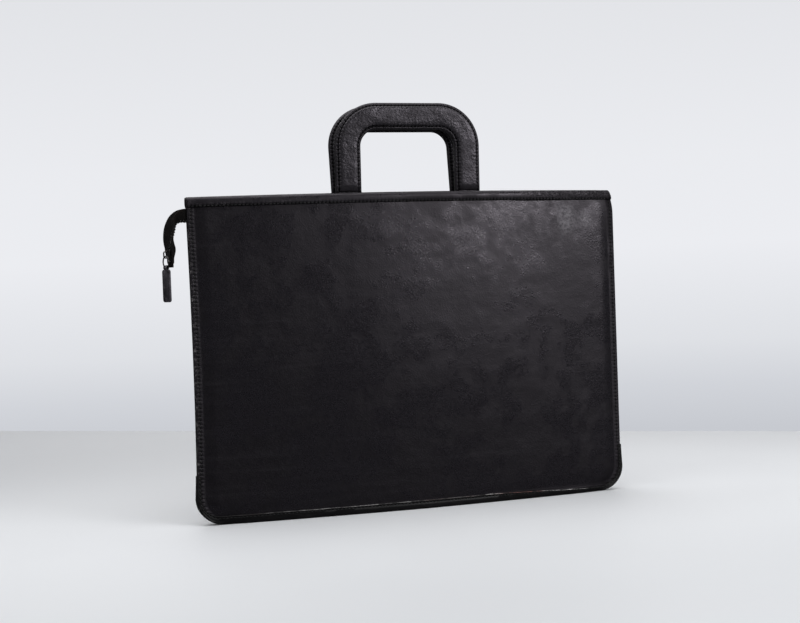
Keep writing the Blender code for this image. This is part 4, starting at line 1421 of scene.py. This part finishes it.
def pull_seam():
    """Stitches round the tab on both faces."""
    top = EYE_OVERLAP - EYE_RADIUS
    y = PULL_WIDTH / 2 - PULL_SEAM_INSET
    low = top - PULL_LENGTH + PULL_SEAM_INSET
    high = top - PULL_SEAM_INSET
    bend = PULL_SEAM_CORNER
    turn = [(bend * math.sin(a), bend * math.cos(a)) for a in np.linspace(0, np.pi / 2, 6)]
    route = [(y, high)]
    route += [(y - bend + run, low + bend - rise) for rise, run in turn]
    route += [(-y + bend - rise, low + bend - run) for rise, run in turn]
    route += [(-y, high), (y, high)]
    place = pull_frame()
    stitches = []
    for face in (1, -1):
        depth = PULL_THICKNESS / 2 * PULL_SEAM_THICK
        line = [tuple(place @ Vector((face * depth, a, b))) for a, b in route]
        normal = place.to_3x3() @ Vector((face, 0, 0))
        stitches += stitch_row(line, normal, PULL_STITCH_PITCH, PULL_STITCH_LENGTH, PULL_STITCH_RADIUS)
    return stitches


# The case, put together


def build_case():
    leather = case_leather()
    lap = strip_leather()
    raw = raw_edge()
    padded = handle_leather("handle_leather", 1.0)
    # The pull's copy is lighter in colour: painted light
    tab = handle_leather("pull_leather", 1.6)
    woven = woven_tape()
    metal = worn_metal()
    thread = sewing_thread()
    for side, name in ((FRONT, "front"), (BACK, "back")):
        finish_piece(make_panel(name + "_wall", side, leather), "case_leather", name + "_panel")
    for side, hand in ((LEFT, "left"), (RIGHT, "right")):
        finish_piece(make_gusset("gusset_" + hand, side, leather), "case_leather", "side_gusset_" + hand)
    finish_piece(make_base_strip(lap, raw), "strip_leather", "base_strip")
    for side, name in ((FRONT, "front_hem"), (BACK, "back_hem")):
        hem = finish_piece(make_hem(name + "_roll", side, leather), "case_leather", name)
    handles = ((FRONT, "front_handle", FRONT_HANDLE_LEAN), (BACK, "back_handle", BACK_HANDLE_LEAN))
    for side, name, lean in handles:
        handle = make_handle(name + "_pad", side, lean, padded, 41 + side)
        finish_piece(handle, "handle_leather", name)
        sew(name + "_stitches", handle_seam(side, lean), thread, "handle_leather")
    for side, name in ((FRONT, "front"), (BACK, "back")):
        finish_piece(make_tape(name + "_tape", side, woven), "zip_tape", "zip_tape_" + name)
        finish_piece(make_teeth(name + "_teeth", side, metal), "zip_metal")
        sew(name + "_wall_stitches", panel_seam(side), thread, "case_leather")
        sew(name + "_hem_stitches", hem_seam(side), thread, "case_leather")
    sew("strip_stitches", strip_seam(), thread, "strip_leather")
    finish_piece(make_slider(metal), "zip_metal", "zip_slider")
    finish_piece(make_bail(metal), "zip_metal", "zip_slider")
    finish_piece(make_ring(metal), "zip_metal", "zip_ring")
    finish_piece(make_pull(tab), "pull_leather", "zip_pull")
    finish_piece(make_eye(tab), "pull_leather", "zip_pull")
    sew("pull_stitches", pull_seam(), thread, "pull_leather")


# The studio

FOCAL_PIXELS = 1431.0
IMAGE_WIDTH = 800
IMAGE_HEIGHT = 623
SENSOR_WIDTH = 36.0
CAMERA_PLACE = Vector((-0.411, -1.201, 0.205))
CAMERA_YAW = math.radians(18.39)
CAMERA_PITCH = math.radians(-1.40)
CAMERA_ROLL = math.radians(-2.06)
FLOOR_END_ROW = 431
FLOOR_NEAR = 1.6
FLOOR_ASIDE = 1.5
# Along the floor's own Y: where its painted shade starts and stops, darkening to its far end and to its near
# edge
FLOOR_FAR_SHADE = (-0.05, 0.60)
FLOOR_NEAR_SHADE = (-0.45, -0.05)
# Between which heights of the view the backdrop's painted light and shade lie
BACKDROP_HEIGHTS = (-0.11, 0.19)
# The backdrop's painted light and shade from bottom to top: share of the way up, colour
BACKDROP_PAINTED_SHADES = (
    (0.00, (0.572, 0.590, 0.632)),
    (0.10, (0.640, 0.658, 0.700)),
    (0.20, (0.735, 0.750, 0.785)),
    (0.42, (0.835, 0.845, 0.880)),
    (0.62, (0.825, 0.835, 0.868)),
    (1.00, (0.765, 0.775, 0.805)),
)
ROOM_COLOUR = (0.95, 0.97, 1.0, 1)
ROOM_STRENGTH = 0.05
# Name, place, what it points at, size, watts
LIGHTS = (
    ("overhead_softbox", (-0.25, -0.20, 2.2), (-0.10, -0.05, 0.0), (3.2, 2.8), 60.0),
    ("side_softbox", (1.05, -1.42, 0.73), (0.05, 0.0, 0.22), (0.95, 0.56), 13.5),
    ("left_fill", (-1.7, -0.9, 0.75), (-0.2, 0.0, 0.15), (1.0, 0.9), 3.0),
    ("back_fill", (0.55, 1.85, 0.80), (0.0, 0.0, 0.22), (1.9, 0.8), 6.5),
)


def camera_axes():
    """The camera's right, up and forward directions."""
    level_out = math.cos(CAMERA_PITCH)
    heading = (math.sin(CAMERA_YAW) * level_out, math.cos(CAMERA_YAW) * level_out, math.sin(CAMERA_PITCH))
    forward = Vector(heading)
    level = Vector((math.cos(CAMERA_YAW), -math.sin(CAMERA_YAW), 0))
    upright = level.cross(forward)
    right = math.cos(CAMERA_ROLL) * level + math.sin(CAMERA_ROLL) * upright
    up = -math.sin(CAMERA_ROLL) * level + math.cos(CAMERA_ROLL) * upright
    return right, up, forward


def make_camera():
    right, up, forward = camera_axes()
    data = bpy.data.cameras.new("studio_camera")
    data.sensor_width = SENSOR_WIDTH
    data.lens = FOCAL_PIXELS * SENSOR_WIDTH / IMAGE_WIDTH
    camera = bpy.data.objects.new("studio_camera", data)
    turn = Matrix((right, up, -forward)).transposed().to_4x4()
    camera.matrix_world = Matrix.Translation(CAMERA_PLACE) @ turn
    bpy.context.scene.collection.objects.link(camera)
    bpy.context.scene.camera = camera


def floor_point(column, row):
    """The floor's point at a place in the image."""
    right, up, forward = camera_axes()
    ray = forward * FOCAL_PIXELS + right * (column - IMAGE_WIDTH / 2) - up * (row - IMAGE_HEIGHT / 2)
    return CAMERA_PLACE + ray * (-CAMERA_PLACE.z / ray.z)


def make_floor():
    """A pale floor that ends behind the case, level in the image as in the photo, with painted shade towards
    its far end and its near edge.
    """
    left = floor_point(0, FLOOR_END_ROW)
    right = floor_point(IMAGE_WIDTH, FLOOR_END_ROW)
    along = (right - left).normalized()
    near = Vector((along.y, -along.x, 0))
    middle = (left + right) / 2
    corners = [middle - along * FLOOR_ASIDE, middle + along * FLOOR_ASIDE]
    corners += [corners[1] + near * FLOOR_NEAR, corners[0] + near * FLOOR_NEAR]
    s = Shader("studio_floor", (0.80, 0.815, 0.84), 0.6, specular=0.2)
    uneven = s.range(s.noise(3.0, 3.0), 0.3, 0.7)
    y = s.split(s.place)["Y"]
    tone = s.painted(
        s.colours(uneven, (0.785, 0.800, 0.828), (0.815, 0.830, 0.855)),
        # Painted shade: darker towards the far end and the near edge
        (s.range(y, *FLOOR_FAR_SHADE), (0.640, 0.652, 0.676)),
        (s.range(y, *FLOOR_NEAR_SHADE, 1.0, 0.0), (0.715, 0.730, 0.755)),
    )
    s.use(tone, s.total(0.55, (0.1, uneven)))
    floor = new_piece("studio_floor", [tuple(c) for c in corners], [[0, 1, 2, 3]], [s.material])
    floor.visible_glossy = False


def make_light(name, place, target, size, power):
    data = bpy.data.lights.new(name, "AREA")
    data.shape = "RECTANGLE"
    data.size, data.size_y = size
    data.energy = power
    light = bpy.data.objects.new(name, data)
    light.location = place
    light.visible_camera = False
    light.rotation_euler = (Vector(target) - Vector(place)).to_track_quat("-Z", "Y").to_euler()
    bpy.context.scene.collection.objects.link(light)


def make_surroundings():
    """A pale backdrop behind everything, with painted light and shade seen only by the camera, and a dim room
    for the case to reflect.
    """
    world = bpy.data.worlds.new("studio")
    w = Nodes(world)
    w.tree.nodes.clear()
    upward = w.split(w.node("TexCoord", {}, "Generated"))["Z"]
    low, high = BACKDROP_HEIGHTS
    height = w.node("MapRange", {"Value": upward, "From Min": low, "From Max": high}, "Result")
    backdrop = w.node("ValToRGB", {"Fac": height}, "Color")
    stops = backdrop.node.color_ramp.elements
    for stop, (position, shade) in zip(stops, (BACKDROP_PAINTED_SHADES[0], BACKDROP_PAINTED_SHADES[-1])):
        stop.position = position
        stop.color = (*shade, 1)
    for position, shade in BACKDROP_PAINTED_SHADES[1:-1]:
        stops.new(position).color = (*shade, 1)
    seen = w.node("Background", {"Color": backdrop})
    room = w.node("Background", {"Color": ROOM_COLOUR, "Strength": ROOM_STRENGTH})
    either = w.node("MixShader", {0: w.node("LightPath", {}, "Is Camera Ray"), 1: room, 2: seen})
    w.set(w.tree.nodes.new("ShaderNodeOutputWorld"), "Surface", either)
    bpy.context.scene.world = world


def build_studio():
    make_camera()
    make_floor()
    make_surroundings()
    for light in LIGHTS:
        make_light(*light)
    bpy.context.scene.view_settings.view_transform = "Standard"


build_case()
build_studio()
